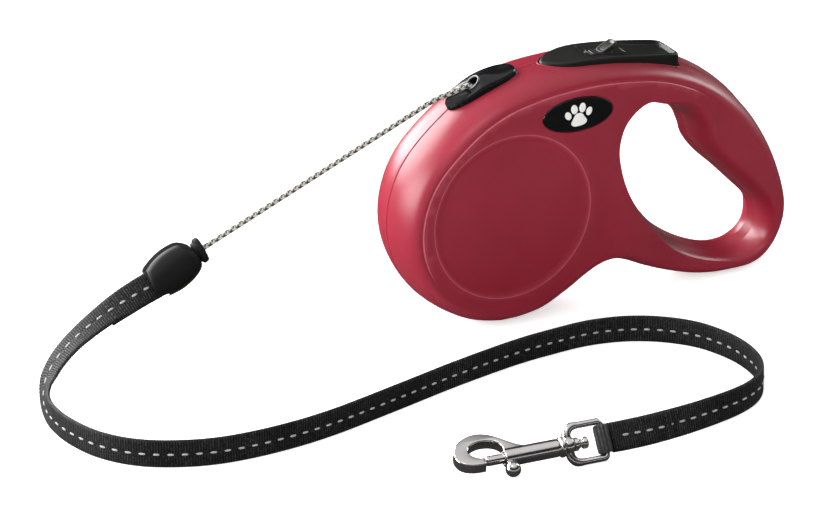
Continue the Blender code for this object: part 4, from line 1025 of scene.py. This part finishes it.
def button_cap():
    xs = np.concatenate([BUTTON_FRONT + np.array(FRONT_STEPS), np.arange(22.2, 33, 0.7),
                         np.arange(33, 39, 0.22), np.arange(39, 68, 0.6),
                         BUTTON_BACK - np.array(BACK_STEPS)])
    xs = np.unique(np.clip(xs, 18.62, 71.995))
    rows = []
    for x in xs:
        half = float(np.interp(x, LEFT_EDGE[:, 0], -LEFT_EDGE[:, 1]))
        reach, widest = 0.96 * half, EDGE_STEPS[-1]
        steps = EDGE_STEPS if widest < reach else EDGE_STEPS * (reach / widest)
        y = np.concatenate([-half + steps, [0], (half - steps)[::-1]])
        rows.append(np.column_stack([np.full(len(y), x), y]))
    plan = np.array(rows)
    inset = plan_distance(plan.reshape(-1, 2)).reshape(plan.shape[:2])
    z = button_height(plan[..., 0], plan[..., 1], inset)
    P = np.concatenate([plan, z[..., None]], -1)
    P = np.concatenate([P[:, :1], P, P[:, -1:]], 1)
    P[:, 0, 2] = P[:, -1, 2] = skirt = np.interp(xs, SKIRT_X, SKIRT_Z)
    P = np.concatenate([P[:1], P, P[-1:]], 0)
    P[0, :, 2], P[-1, :, 2] = skirt[0], skirt[-1]
    fit(grid("button_cap", P, BUTTON_BLACK, angle=50), "brake", "brake_button")


def button_lip():
    """A low lip on the casing round the button's foot."""
    foot = plan_loop(0.62, 4)
    top = OUTER[OUTER[:, 1] > 70]
    top = top[np.argsort(top[:, 0])]
    z = (np.interp(foot[:, 0], top[:, 0], top[:, 1])
         - 5.9 * (1 - np.sqrt(np.maximum(0, 1 - (foot[:, 1] / CASE_HALF) ** 2))))
    o = tube("button_lip", np.column_stack([foot, z - 0.03]), 0.27, CRIMSON, 12, closed=True,
             side=(0, 0, 1))
    fit(o, "casing")


def slider_track():
    """The raised frame of the slider's track, on the dished floor."""
    along, across, _ = frame_of((TRACK_SLOPE, 0, 1.0), Vector((1.0, 0.0, -TRACK_SLOPE)))
    loop = rounded_rect(7.0, 2.9, 0.8, steps=6)
    P = np.array([45.2, 0, 93.97]) + loop[:, :1] * along + loop[:, 1:] * across
    P[:, 2] = button_height(P[:, 0], P[:, 1], 4.0) + 0.02
    fit(tube("slider_track", P, 0.24, BUTTON_BLACK, 12, closed=True), "brake")


def index_dot():
    """A small dot in front of the slider."""
    x, y = 37.3, 0.4
    profile = [(0, 0.42), (0.3, 0.38), (0.5, 0.2), (0.55, 0.0), (0.55, -0.3)]
    at = (x, y, float(button_height(x, y, 6.0)))
    fit(lathe("index_dot", profile, at, (0.0, 0, 1), SLIDER_RIM, 24), "brake")


# Lock slider, scale of the outline and height: the paddle, then the foot
PADDLE_ROWS = [(0.86, -0.95), (0.95, -0.8), (1.0, -0.5), (1.0, -0.1), (0.97, 0.06), (0.90, 0.12),
               (0.80, 0.08), (0.74, -0.08), (0.4, -0.14), (0.03, -0.14)]
FOOT_ROWS = [(0.96, -1.6), (1.0, -1.4), (1.0, -0.35), (0.97, -0.2), (0.9, -0.15), (0.4, -0.12),
             (0.03, -0.12)]


def slider():
    """Lock slider: a foot in the track and a tilted paddle with a raised rim."""
    tilt = math.radians(27)
    along = Vector((math.cos(tilt), 0, math.sin(tilt)))
    up = Vector((-math.sin(tilt), 0, math.cos(tilt)))

    def on_paddle(x, y, height):
        return tuple(Vector((45.3, 0, 95.15)) + along * x + Vector((0, y, 0)) + up * height)

    outline = rounded_rect(3.85, 2.35, 1.5)
    rows = [[on_paddle(x * scale, y * scale, h) for x, y in outline] for scale, h in PADDLE_ROWS]
    paddle = rings("lock_paddle", rows, SLIDER_GREY, angle=60)
    rim = tube("lock_rim", [on_paddle(x * 0.88, y * 0.86, 0.1) for x, y in outline], 0.26,
               SLIDER_RIM, 12, closed=True)
    rows = [[(43.2 + x * scale, y * scale, 94.0 - TRACK_SLOPE * (x * scale - 2.0) + h - 0.3)
             for x, y in rounded_rect(4.2, 2.3, 0.9)] for scale, h in FOOT_ROWS]
    foot = rings("lock_foot", rows, SLIDER_GREY, angle=60)
    neck = prism("lock_neck", [(43.0, 93.2), (47.4, 93.0), (48.2, 96.2), (46.6, 95.9),
                               (43.4, 94.2)], -1.7, 1.7, lambda a, b, c: (a, c, b), SLIDER_GREY)
    fit(merge("lock_tab", [paddle, rim, foot, neck]), "lock", "lock_slider")


button_cap()
button_lip()
slider_track()
index_dot()
slider()

# ================================================================ cord
STRANDS = 8.0         # in each of the two families
BRAID_TURN = 5.8      # length of one full turn of a strand


def braided(name, points, start):
    """A round braid: it rises where a strand is on top and sinks between strands."""
    line, s = resampled(open_spline(points, 14), 0.11)
    th = turn(60)[None, :]
    U, V = carried_frame(line, (0, 1, 0))
    along = (s + start)[:, None] / BRAID_TURN
    a = STRANDS * (th / (2 * np.pi) + along)
    b = STRANDS * (-th / (2 * np.pi) + along)
    over = ((np.floor(a) + np.floor(b)) % 2 == 0).astype(float)
    off_a, off_b = (np.abs(v - np.floor(v) - 0.5) * 2 for v in (a, b))
    upper = np.where(over > 0.5, off_a, off_b)
    lower = np.where(over > 0.5, off_b, off_a)
    lift = (0.13 * np.sqrt(np.maximum(0, 1 - upper**2))
            * (0.65 + 0.35 * np.sqrt(np.maximum(0, 1 - lower**2))))
    radius = CORD_R - 0.25 + lift
    P = line[:, None] + radius[..., None] * (U[:, None] * np.cos(th)[..., None]
                                             + V[:, None] * np.sin(th)[..., None])
    attrs = {"strand_a": a, "strand_b": b, "over": over, "valley_shade": upper**6}
    return grid(name, P, BRAID, wrap_v=True, cap=True, attrs=attrs, angle=180)


# Inside the casing: through the eyelet and the guide to the spool
cord_feed = braided("cord_feed", [
    tuple(LEAD - LEAD_DIR * 0.6), tuple(LEAD), (-20.4, 0, 87.0), (-15.0, 0, 88.1),
    (-12.4, 0, 88.85), (-10.7, 0, 89.3), (-9.2, 0, 89.3), *GUIDE_WAY,
    (8.0, -2.6, 77.4), (13.6, -3.9, 71.6), (20.4, -5.0, 64.4)], start=0.0)
fit(cord_feed, "casing")
# The free span from the casing to the bobbin
cord_span = braided("cord_span", [
    tuple(p) for p in (LEAD, LEAD.lerp(BOBBIN, 0.5), LEAD.lerp(BOBBIN, 0.97),
                       BOBBIN + BOBBIN_AXIS * 2.0, BOBBIN + BOBBIN_AXIS * 5.0)], start=0.6)
fit(cord_span, "casing", "cord_run")
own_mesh(cord_span)

# ================================================================ bobbin
# Along the axis, half width
BOBBIN_PROFILE = open_spline([(3.2, 3.5), (4.6, 5.2), (7.0, 6.6), (10.5, 7.3), (14.5, 7.5),
                              (18.0, 7.0), (20.8, 6.3), (22.4, 5.7)], 12)
BOBBIN_START, BOBBIN_END = 4.0, 22.4
BOBBIN_ROUND = 0.55   # end radius


def on_bobbin(s, across, through):
    """Points in the bobbin's frame: along its axis, across the strap, through its thickness."""
    return (np.array(BOBBIN) + np.multiply.outer(s, np.array(BOBBIN_AXIS))
            + np.multiply.outer(across, np.array(STRAP_ACROSS))
            + np.multiply.outer(through, np.array(BOBBIN_NORMAL)))


def bobbin_half(name, near, replaced):
    """One half of the bobbin; the near half's strap end is wavy, the far half's straight.

    The far half is wider, so its edge shows past the near half as a ridge; its lighter grey is a
    painted highlight on that ridge.
    """
    stations = np.concatenate([
        BOBBIN_START + np.array([0.0, 0.05, 0.15, 0.35, 0.7]), np.linspace(5.1, 21.0, 60),
        BOBBIN_END - np.array([1.1, 0.8, 0.5, 0.3, 0.15, 0.05, 0.0])])
    angles = np.radians(np.concatenate([[0, 3, 8], np.linspace(14, 166, 60), [172, 177, 180]]))
    rows = []
    for s in stations:
        shrink = sum(BOBBIN_ROUND - math.sqrt(max(0, BOBBIN_ROUND**2 - (BOBBIN_ROUND - e) ** 2))
                     for e in (min(s - BOBBIN_START, BOBBIN_ROUND),
                               min(BOBBIN_END - s, BOBBIN_ROUND)))
        r = float(np.interp(s - 0.8 * (1 - ease(s, 4, 8)), *BOBBIN_PROFILE.T))
        r += (-0.15 if near else 0.30) - shrink
        w = r * np.cos(angles)
        wave = 0.0 * w
        if near:
            w = np.where(w < 0, w * (1 - 0.85 / max(r, 2.0)), w)
            wave = (0.75 * np.sin(w / 5.6 * 2.2 + 0.3) + 0.35) * float(ease(s, 17, 5.4))
        top = min(0.80 * (r + shrink), 4.9) - shrink
        h = top * np.sin(angles) ** 0.82 + (0.75 if near else 0.35)
        low = 0.42 if near else 0.08
        across = np.concatenate([[w[0] - 0.34], w, [w[-1] + 0.34]]) - 0.9 * float(ease(s, 3, 5))
        through = np.concatenate([[low], h, [low]])
        rows.append(on_bobbin(s + np.pad(wave, 1, "edge"), across, through if near else -through))
    o = rings(name, rows, BOBBIN_BLACK if near else BOBBIN_FAR_HIGHLIGHT, angle=48)
    slot = rounded_rect(5.6, 3.2, 1.0)
    cut(o, [rings("k_strap", [on_bobbin(s, *slot.T) for s in (13.0, 25.0)], None),
            bore("k_ferrule", 3.0, 5.4, 13.6, BOBBIN, BOBBIN_AXIS, 40),
            bore("k_cord", 1.5, -1, 7.0, BOBBIN, BOBBIN_AXIS, 32)], angle=40)
    fit(o, "leash_end", replaced)


def on_near_side(piece):
    """Whether the CAD piece's middle lies on the side that the bobbin's normal points to."""
    o = frame["nodes"][piece]
    verts = o.data.vertices
    middle = sum((o.matrix_world @ v.co for v in verts), Vector()) / len(verts)
    return (middle / MM - BOBBIN).dot(BOBBIN_NORMAL) > 0


near_piece, far_piece = "bobbin_front", "bobbin_back"
if not on_near_side(near_piece):
    near_piece, far_piece = far_piece, near_piece
bobbin_half("bobbin_near", True, near_piece)
bobbin_half("bobbin_far", False, far_piece)
collar = lathe("bobbin_disc", rounded([(1.25, 2.9), (1.25, -0.35), (4.0, -0.6), (4.72, 0.1),
                                       (4.72, 1.6), (3.7, 2.1), (3.7, 2.9), (1.25, 2.9)], 0.45, 5),
               BOBBIN + BOBBIN_AXIS * 1.25, BOBBIN_AXIS - STRAP_ACROSS * 0.13, BOBBIN_BLACK, 72,
               side=STRAP_ACROSS, squash=(1.0, 0.75))
fit(collar, "leash_end", "bobbin_collar")

# ================================================================ webbing
# Centre line between its two ends: x, y, z, then the direction across the strap
STRAP = [
    (-141.5, 0.0, 32.7, 0.24, -0.78, -0.57), (-150.4, 0.0, 28.4, 0.16, -0.94, -0.30),
    (-160.6, -0.2, 22.0, 0.15, -0.985, -0.05), (-167.6, -1.2, 16.2, 0.20, -0.97, 0.14),
    (-171.8, -2.9, 11.3, 0.25, -0.88, 0.40), (-174.4, -6.5, 7.6, 0.16, -0.55, 0.82),
    (-176.4, -13.0, 5.4, 0.04, -0.20, 0.98), (-177.0, -22.0, 5.0, 0, -0.06, 1),
    (-175.4, -33.0, 5.0, 0, 0, 1), (-170.6, -45.5, 5.0, 0, 0, 1), (-162.0, -56.0, 5.0, 0, 0, 1),
    (-150.0, -63.2, 5.0, 0, 0, 1), (-135.0, -67.6, 5.0, 0, 0, 1), (-116.0, -68.2, 5.0, 0, 0, 1),
    (-94.5, -65.4, 5.0, 0, 0, 1), (-66.0, -57.8, 5.0, 0, 0, 1), (-40.0, -50.4, 5.0, 0, 0, 1),
    (-14.0, -44.4, 5.0, 0, 0, 1), (3.0, -42.2, 5.0, 0, 0, 1), (18.0, -41.6, 5.0, 0, 0, 1),
    (32.0, -44.6, 5.0, 0, 0, 1), (44.0, -51.6, 5.0, 0, 0, 1), (53.0, -62.0, 5.0, 0, 0, 1),
    (58.0, -77.0, 5.0, 0, 0, 1), (57.4, -92.0, 5.0, 0, 0, 1), (51.2, -103.6, 5.0, 0, 0.05, 1),
    (39.5, -110.8, 5.0, 0, 0.12, 0.99), (20.0, -115.3, 5.1, 0, 0.25, 0.97),
    (2.0, -117.5, 5.4, 0, 0.42, 0.91), (-9.8, -118.2, 5.8, 0, 0.55, 0.83)]
RIB_PITCH = 0.92
FOLD = 24.0           # length of each sewn-back end
FOLD_T = STRAP_T * 0.92
BACK_FACE = STRAP_T * 1.46            # the outer face of a fold, off the centre surface
TURN_R = 1.3          # inner radius of the webbing's turns

# Cross-section of a band: position across (-1 to 1), face (1 or -1) and fullness
SECTION = np.concatenate([np.linspace(-1, 1, 26), np.linspace(1, -1, 26)])
FACE = np.concatenate([np.ones(26), -np.ones(26)])
FULL = (1 - np.abs(SECTION) ** 9) ** 0.5


def strap_line():
    """The strap's centre line and its across direction, before even spacing."""
    stations = [(PIN + BOBBIN_AXIS * 1.9, STRAP_ACROSS),
                (Vector((-131.6, 0.0, 36.6)), STRAP_ACROSS),
                *[(Vector(row[:3]), Vector(row[3:]).normalized()) for row in STRAP],
                (SNAP - SNAP_AXIS * 2.3, EYE_SIDE)]
    points, across = zip(*stations)
    rows = []
    for i in range(len(points) - 1):
        for k in range(24):
            t = k / 24
            rows.append((*catmull(*span_points(points, i), t),
                         *across[i].lerp(across[i + 1], t).normalized()))
    rows.append((*points[-1], *across[-1]))
    return np.array(rows)


def strap_frame():
    """Even stations: point, tangent, across, normal and run length."""
    rows, run = resampled(strap_line(), 0.21)
    P, across = rows[:, :3], rows[:, 3:]
    for _ in range(30):       # the across direction turns evenly
        across[1:-1] = 0.25 * across[:-2] + 0.5 * across[1:-1] + 0.25 * across[2:]
    tangent = np.gradient(P, axis=0)
    tangent /= np.linalg.norm(tangent, axis=1)[:, None]
    across -= tangent * (across * tangent).sum(1)[:, None]
    across /= np.linalg.norm(across, axis=1)[:, None]
    return P, tangent, across, np.cross(tangent, across), run


LINE, TANGENT, ACROSS, NORMAL, RUN = strap_frame()
TOTAL = RUN[-1]


def band(name, P, mat, rib, run, across):
    """A closed webbing band with the attributes that its material reads."""
    attrs = {"rib": rib, "run": np.broadcast_to(run[:, None], rib.shape),
             "across": np.broadcast_to(across[None, :], rib.shape)}
    return grid(name, P, mat, wrap_v=True, cap=True, attrs=attrs, angle=180)


def layer(name, low, high, shift=0.0, thick=STRAP_T, width=STRAP_W * 1.04, tuck=False):
    """Ribbed webbing between two run lengths; shift is off the centre surface."""
    chosen = (RUN >= low) & (RUN <= high)
    P, across, normal, s = LINE[chosen], ACROSS[chosen], NORMAL[chosen], RUN[chosen]
    edge = 1 - 0.02 * np.abs(np.sin(np.pi * s / RIB_PITCH))[:, None]
    phase = np.where(np.abs(SECTION) < 0.06, np.pi, 0.0)[None, :]
    rib = 0.5 + 0.5 * np.cos(2 * np.pi * s[:, None] / RIB_PITCH + phase)
    ends = (np.minimum(ease(s - s[0], 0, 0.5), ease(s[-1] - s, 0, 0.5)) if tuck
            else np.ones(len(s)))
    half = ((thick / 2 - 0.04) * FULL[None, :] * (0.25 + 0.75 * ends)[:, None]
            + 0.09 * rib**0.8 * (FULL[None, :] > 0.3))
    # a shallow channel where the centre stitching pulls the webbing in
    half = half - 0.10 * np.exp(-((SECTION[None, :] * width / 2) / 0.55) ** 2)
    sideways = SECTION[None, :, None] * (width / 2) * edge[..., None]
    verts = (P[:, None] + across[:, None] * sideways
             + normal[:, None] * (shift + (half * FACE[None, :])[..., None]))
    return band(name, verts, WEBBING, rib, s, SECTION * width / 2)


def wrap(name, centre, axis, away, half_width, thick):
    """The webbing's turn round a pin or bar, over the side that faces away."""
    z = Vector(axis).normalized()
    x = square_to(away, z)
    y = z.cross(x)
    angle = np.radians(np.linspace(-128, 128, 110))
    middle = TURN_R + thick / 2
    s = angle * middle
    rib = (0.5 + 0.5 * np.cos(2 * np.pi * s[:, None] / RIB_PITCH)) * np.ones((1, len(SECTION)))
    ridge = 0.11 * rib**0.8 * (FULL[None, :] > 0.3) * (FACE[None, :] > 0)
    radius = middle + FACE[None, :] * ((thick / 2 - 0.06) * FULL[None, :] + ridge)
    out = (np.cos(angle)[:, None, None] * np.array(x) + np.sin(angle)[:, None, None] * np.array(y))
    across = SECTION * half_width
    verts = np.array(centre) + across[None, :, None] * np.array(z) + radius[..., None] * out
    # The turns take the lighter webbing copy, painted sheen on the curve.
    return band(name, verts, WEBBING_PAINTED_SHEEN, rib, s, across)


fold_look = dict(shift=-STRAP_T * 0.96, thick=FOLD_T, width=STRAP_W * 0.985, tuck=True)
strap = merge("webbing_leash", [
    layer("webbing_main", 0, TOTAL),
    layer("webbing_fold_bobbin", 0, FOLD, **fold_look),
    layer("webbing_fold_hook", TOTAL - FOLD, TOTAL, **fold_look),
    wrap("turn_pin", PIN, STRAP_ACROSS, -BOBBIN_AXIS, half_width=4.9, thick=1.15),
    wrap("turn_eye", SNAP, EYE_SIDE, SNAP_AXIS, half_width=4.95, thick=1.45)])
fit(strap, "leash_end", "webbing_strap")


def stitches():
    """Pale centre stitching on both faces, and dark bar tacks across the ends of the folds."""
    verts, faces, twist = [], [], []
    around = 12

    def dash(middle, length, height, offset=0.0, crosswise=False):
        """A stitch at a run length, at a height over the centre surface."""
        base = len(verts)
        wide, tall = (0.26, 0.2) if crosswise else (0.38, 0.24)
        for i in range(9):
            t = -1 + 2 * i / 8
            full = math.sqrt(max(0.0, 1 - abs(t) ** 3.2)) + 0.02
            s = middle + (0 if crosswise else t * length / 2)
            w = offset + (t * length / 2 if crosswise else 0)
            place = float(np.interp(s, RUN, np.arange(len(RUN))))
            j = int(place)
            part = place - j
            p = LINE[j] * (1 - part) + LINE[min(j + 1, len(RUN) - 1)] * part
            side = TANGENT[j] if crosswise else ACROSS[j]
            centre = p + ACROSS[j] * w + NORMAL[j] * height
            for a in range(around):
                angle = 2 * math.pi * a / around
                verts.append(centre + side * (wide * full * math.cos(angle))
                             + NORMAL[j] * (tall * full * math.sin(angle)))
                twist.append((s + (w if crosswise else 0)) / 0.8 + a / around)
        for i in range(8):
            near, far = base + i * around, base + (i + 1) * around
            for a in range(around):
                b = (a + 1) % around
                faces.append((near + a, near + b, far + b, far + a))
        faces.append(list(range(base, base + around)))
        faces.append(list(range(base + 8 * around, base + 9 * around)))

    pitch = 4.75
    for s in np.arange(7.0, TOTAL - 3, pitch):
        doubled = s < FOLD or s > TOTAL - FOLD
        dash(s, 2.3, STRAP_T / 2 + 0.02)
        dash(s + pitch / 2, 2.5, -(BACK_FACE if doubled else STRAP_T * 0.5) - 0.03)
    first_tack = len(faces)
    for s in (FOLD - 2.2, TOTAL - FOLD + 2.2):
        for offset in np.linspace(-3.6, 3.6, 5):
            dash(s, 1.3, STRAP_T / 2 + 0.02, offset, crosswise=True)
            dash(s, 1.3, -BACK_FACE - 0.02, offset, crosswise=True)
    o = add("centre_stitching", np.array(verts), faces, THREAD, {"twist": twist}, angle=180)
    o.data.materials.append(TACK_THREAD)
    for face in o.data.polygons:
        if face.index >= first_tack:
            face.material_index = 1
    fit(o, "leash_end")


stitches()

# ================================================================ swivel eye, stud, snap
EYE_HALF, EYE_LONG = 6.25, 12.6
BARREL_START, BARREL_END = EYE_LONG + 1.6, 35.6
RING_HOLE, RING_HOLE_A, RING_HOLE_B = (40.8, 3.9), 5.9, 4.4
PLATE_HALF, PLATE_BEVEL = 2.05, 0.62
# The flat ring in the snap's frame: along its axis, to its side
RING_OUTER = [(26.4, 2.0), (29.4, 3.7), (32.4, 6.4), (35.4, 9.4), (38.4, 11.4), (41.6, 12.2),
              (44.8, 11.7), (47.8, 9.9), (50.0, 7.2), (51.2, 4.0), (51.0, 1.0), (49.6, -1.2),
              (47.2, -2.6), (44.4, -3.0)]
GATE_SEAT = [(42.95, -3.0), (42.8, -2.4), (42.75, -1.6), (42.75, -0.3)]
BARREL_SIDE = [(35.3, 0.2), (34.0, -0.7), (31.0, -1.0), (27.0, -0.6), (25.2, 0.8)]


def snap_point(along, sideways=0, side=RING_SIDE):
    return SNAP + SNAP_AXIS * along + side * sideways


def swivel_eye():
    """A frame with a thickened far end, and the boss that the stud turns in."""
    points = []
    for radius, end, sign, start in ((3.2, EYE_LONG - 3.2, 1, 90), (3.2, EYE_LONG - 3.2, -1, 0),
                                     (1.2, 1.2, -1, -90), (1.2, 1.2, 1, 180)):
        for k in range(13):
            a = math.radians(start - 7.5 * k)
            points.append((end + radius * math.cos(a),
                           sign * (EYE_HALF - radius) + radius * math.sin(a)))
    loop = resampled(np.array(points + [points[0]]), 0.35)[0][:-1]
    wire = tube("eye_frame", [tuple(snap_point(u, v, EYE_SIDE)) for u, v in loop],
                1.14 + 0.42 * ease(loop[:, 0], 7.5, 4.5), NICKEL, 28, closed=True,
                side=SNAP_AXIS.cross(EYE_SIDE))
    boss = lathe("eye_boss", rounded([(1.6, -1.45), (2.9, -1.45), (3.1, 0), (2.9, 1.45),
                                      (1.6, 1.45), (1.6, -1.45)], 0.5, 5),
                 snap_point(EYE_LONG), SNAP_AXIS, NICKEL, 56)
    fit(merge("swivel_loop", [wire, boss]), "eye", "swivel_eye")


def swivel_stud():
    profile = [(0, -0.15), (1.55, -0.1), (2.05, 0.3), (2.05, 1.7), (1.45, 2.1), (1.45, 2.9),
               (2.3, 3.6), (2.3, 4.7), (1.3, 5.2), (1.3, 10.2), (0, 10.3)]
    o = lathe("swivel_post", rounded(profile, 0.25, 3), snap_point(EYE_LONG - 6.8), SNAP_AXIS,
              NICKEL, 56)
    fit(o, "snap", "swivel_stud")


def snap_plate(name, loop):
    """A flat bevelled plate in the plane of the ring."""
    curve = bpy.data.curves.new(name, "CURVE")
    curve.dimensions, curve.fill_mode = "2D", "BOTH"
    curve.extrude = (PLATE_HALF - PLATE_BEVEL) * MM
    curve.bevel_depth, curve.bevel_resolution = PLATE_BEVEL * MM, 4
    curve.offset = -PLATE_BEVEL * MM
    spline = curve.splines.new("POLY")
    spline.points.add(len(loop) - 1)
    for point, (x, y) in zip(spline.points, loop):
        point.co = (x * MM, y * MM, 0, 1)
    spline.use_cyclic_u = True
    o = link_mesh(name, curve)
    turned = Matrix(frame_of(SNAP_AXIS.cross(RING_SIDE), SNAP_AXIS).T.tolist()).to_4x4()
    o.matrix_world = Matrix.Translation(SNAP * MM) @ turned
    mesh = evaluated_mesh(o)
    mesh.transform(o.matrix_world)
    bpy.data.objects.remove(o, do_unlink=True)
    tidy(mesh, weld=1e-6)
    mesh.materials.clear()
    mesh.materials.append(NICKEL)
    return link_mesh(name, mesh)


def snap_body():
    """The barrel and the flat ring: over from the barrel, round the nose, to the gate's seat."""
    length = BARREL_END - BARREL_START
    profile = [(1.6, 0), (3.05, 0), (3.6, 0.45), (3.6, 1.35), (2.85, 1.9), (3.1, 2.6),
               (3.1, length), (2.1, length), (2.1, 6.0), (1.6, 6.0), (1.6, 0)]
    barrel = lathe("barrel", rounded(profile, 0.3, 4), snap_point(BARREL_START), SNAP_AXIS,
                   NICKEL, 72)
    outline = open_spline(RING_OUTER, 10)
    outline[:, 0] += 0.8 * ease(outline[:, 0], 44, 7)          # the nose
    t = np.linspace(math.radians(-71), math.radians(218), 110)
    hole_edge = np.column_stack([RING_HOLE[0] + RING_HOLE_A * np.cos(t),
                                 RING_HOLE[1] + RING_HOLE_B * np.sin(t)])
    ring = snap_plate("ring_flat", np.vstack([outline, GATE_SEAT, hole_edge, BARREL_SIDE]))
    fit(merge("snap_casting", [barrel, ring]), "snap", "snap_body")


def gate_bolt():
    profile = [(0, 26.4), (1.7, 26.4), (1.7, 41.6), (1.25, 42.3), (0, 42.35)]
    o = lathe("gate_bolt", rounded(profile, 0.35, 4), SNAP, SNAP_AXIS, NICKEL, 48)
    fit(o, "bolt", "snap_bolt")


def thumb_ball():
    radius, centre = 2.62, 6.1
    profile = [(0, 1.7), (1.1, 1.7), (1.1, 3.6)]
    profile += [(max(0.0, radius * math.sin(a)), centre - radius * math.cos(a))
                for a in np.linspace(0, np.pi, 40)[5:]]
    o = lathe("thumb_ball", profile, snap_point(34.6), -RING_SIDE, NICKEL, 56)
    fit(o, "bolt", "thumb_knob")


swivel_eye()
swivel_stud()
snap_body()
gate_bolt()
thumb_ball()


# ---------------------------------------------------------------- springs
def coil_spring(name, replaced, start, end, radius, wire, turns, body):
    """A coil with closer end turns."""
    start, end = Vector(start), Vector(end)
    along = (end - start).normalized()
    u = along.orthogonal().normalized()
    v = along.cross(u)
    t = np.linspace(0, 1, int(turns * 30) + 1)
    rise = np.interp(t, [0, 0.16, 0.84, 1], [0, 0.07, 0.93, 1])
    rise = rise * ((end - start).length - 2 * wire) + wire
    angle = 2 * np.pi * turns * t
    P = (np.array(start) + np.outer(rise, along) + np.outer(radius * np.cos(angle), u)
         + np.outer(radius * np.sin(angle), v))
    o = tube(name, P, wire, SPRING, n=10)
    fit(o, body, replaced)
    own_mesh(o)


coil_spring("return_coil", "brake_return_spring", (57.0, 1.2, 79.6), (57.0, 1.2, 84.9),
            radius=2.1, wire=0.27, turns=4.0, body="casing")
coil_spring("bolt_coil", "bolt_spring", snap_point(17.2), snap_point(25.9),
            radius=1.3, wire=0.24, turns=6.0, body="snap")


# ================================================================ stage (metres)
def floor():
    """A pale studio sweep: flat floor that curves up far behind."""
    bend, radius = 3.0, 1.2
    profile = [(-4.0, 0.0), (bend, 0.0)]
    profile += [(bend + radius * math.sin(a), radius - radius * math.cos(a))
                for a in np.linspace(0.1, math.pi / 2, 14)]
    profile.append((bend + radius, 4.0))
    P = np.array([[(x * 1000, y * 1000, z * 1000 - 0.05) for x in np.linspace(-4, 4, 5)]
                  for y, z in profile])
    mat, k, surface = shader("studio_floor", (0.9, 0.9, 0.9), rough=0.9, specular=0.0)
    ray = k.add("ShaderNodeLightPath").outputs
    pale = k.mix(k.noise(scale=3.0, detail=3), (0.895, 0.895, 0.895), (0.905, 0.905, 0.905))
    # dark in reflections, and lit by itself as the camera sees it
    k.feed(surface["Base Color"], k.mix(ray["Is Glossy Ray"], pale, (0.045, 0.045, 0.045)))
    surface["Emission Color"].default_value = (1, 1, 1, 1)
    k.feed(surface["Emission Strength"], k.math("MULTIPLY", ray["Is Camera Ray"], 0.58))
    grid("studio_floor", P, mat)


def aimed(name, data, at, aim):
    """An object in the scene that looks from one place to another."""
    o = bpy.data.objects.new(name, data)
    o.location = at
    o.rotation_euler = (Vector(aim) - Vector(at)).to_track_quat("-Z", "Y").to_euler()
    bpy.context.scene.collection.objects.link(o)
    return o


def light(name, at, size, power, aim=(0.0, -0.02, 0.04), glossy=True):
    """An area light; glossy says whether reflections show it."""
    data = bpy.data.lights.new(name, "AREA")
    data.shape = "RECTANGLE"
    data.size, data.size_y = size
    data.energy = power
    aimed(name, data, at, aim).visible_glossy = glossy


def world():
    """Bands of light for reflections, and an even sky, brighter low down, for the rest."""
    made = bpy.data.worlds.new("studio")
    bpy.context.scene.world = made
    made.use_nodes = True
    k = Nodes(made.node_tree)
    direction = k.add("ShaderNodeTexCoord").outputs["Generated"]
    split = k.add("ShaderNodeSeparateXYZ", Vector=direction)
    ramp = k.add("ShaderNodeValToRGB", Fac=split.outputs["Z"])
    stops = ramp.color_ramp.elements
    stops[0].position, stops[0].color = 0.0, (0.75, 0.75, 0.75, 1)
    stops[1].position, stops[1].color = 1.0, (0.97, 0.97, 0.97, 1)
    for height, grey in ((0.02, 0.85), (0.11, 0.90), (0.18, 0.05), (0.50, 0.02), (0.66, 0.05),
                         (0.745, 0.78), (0.86, 0.93)):
        stops.new(height).color = (grey, grey, grey, 1)
    sky = k.remap(k.dot(direction, (0.34, 0.0, 0.94)), span=(0.0, 1.0), to=(1.06, 0.42))
    bands = k.add("ShaderNodeVectorMath")
    bands.operation = "SCALE"
    k.feed(bands.inputs["Scale"], 2.1)
    k.feed(bands.inputs[0], ramp.outputs["Color"])
    glossy = k.add("ShaderNodeLightPath").outputs["Is Glossy Ray"]
    background = made.node_tree.nodes["Background"].inputs
    k.feed(background["Color"], k.mix(glossy, sky, bands.outputs[0]))
    background["Strength"].default_value = 0.45


def camera():
    data = bpy.data.cameras.new("photo_view")
    data.lens, data.sensor_width, data.sensor_fit = 159.777, 36.0, "HORIZONTAL"
    data.clip_start, data.clip_end = 0.05, 50
    bpy.context.scene.camera = aimed("photo_view", data, at=(-0.55566, -1.07015, 0.56554),
                                     aim=(-0.03441, -0.00614, 0.03057))
    bpy.context.scene.view_settings.view_transform = "Standard"


floor()
light("key_left", at=(-1.30, 0.42, 0.36), size=(0.9, 0.85), power=25)
light("front_left", at=(-0.9, -0.9, 0.9), size=(0.9, 0.9), power=8.5, glossy=False)
light("top_soft", at=(0.05, 0.35, 1.5), size=(1.4, 1.0), power=1.5, glossy=False)
light("back_low", at=(-0.42, 0.98, 0.47), size=(0.8, 0.7), power=22, aim=(0.085, 0.0, 0.03))
light("upper_left", at=(-0.42, -0.22, 1.0), size=(0.36, 0.36), power=1.2, aim=(0.08, 0.0, 0.03))
light("edge_right", at=(1.15, 0.25, 0.55), size=(0.35, 0.7), power=5)
light("fill_front", at=(-0.2, -1.5, 0.9), size=(0.8, 0.8), power=4, glossy=False)
world()
camera()
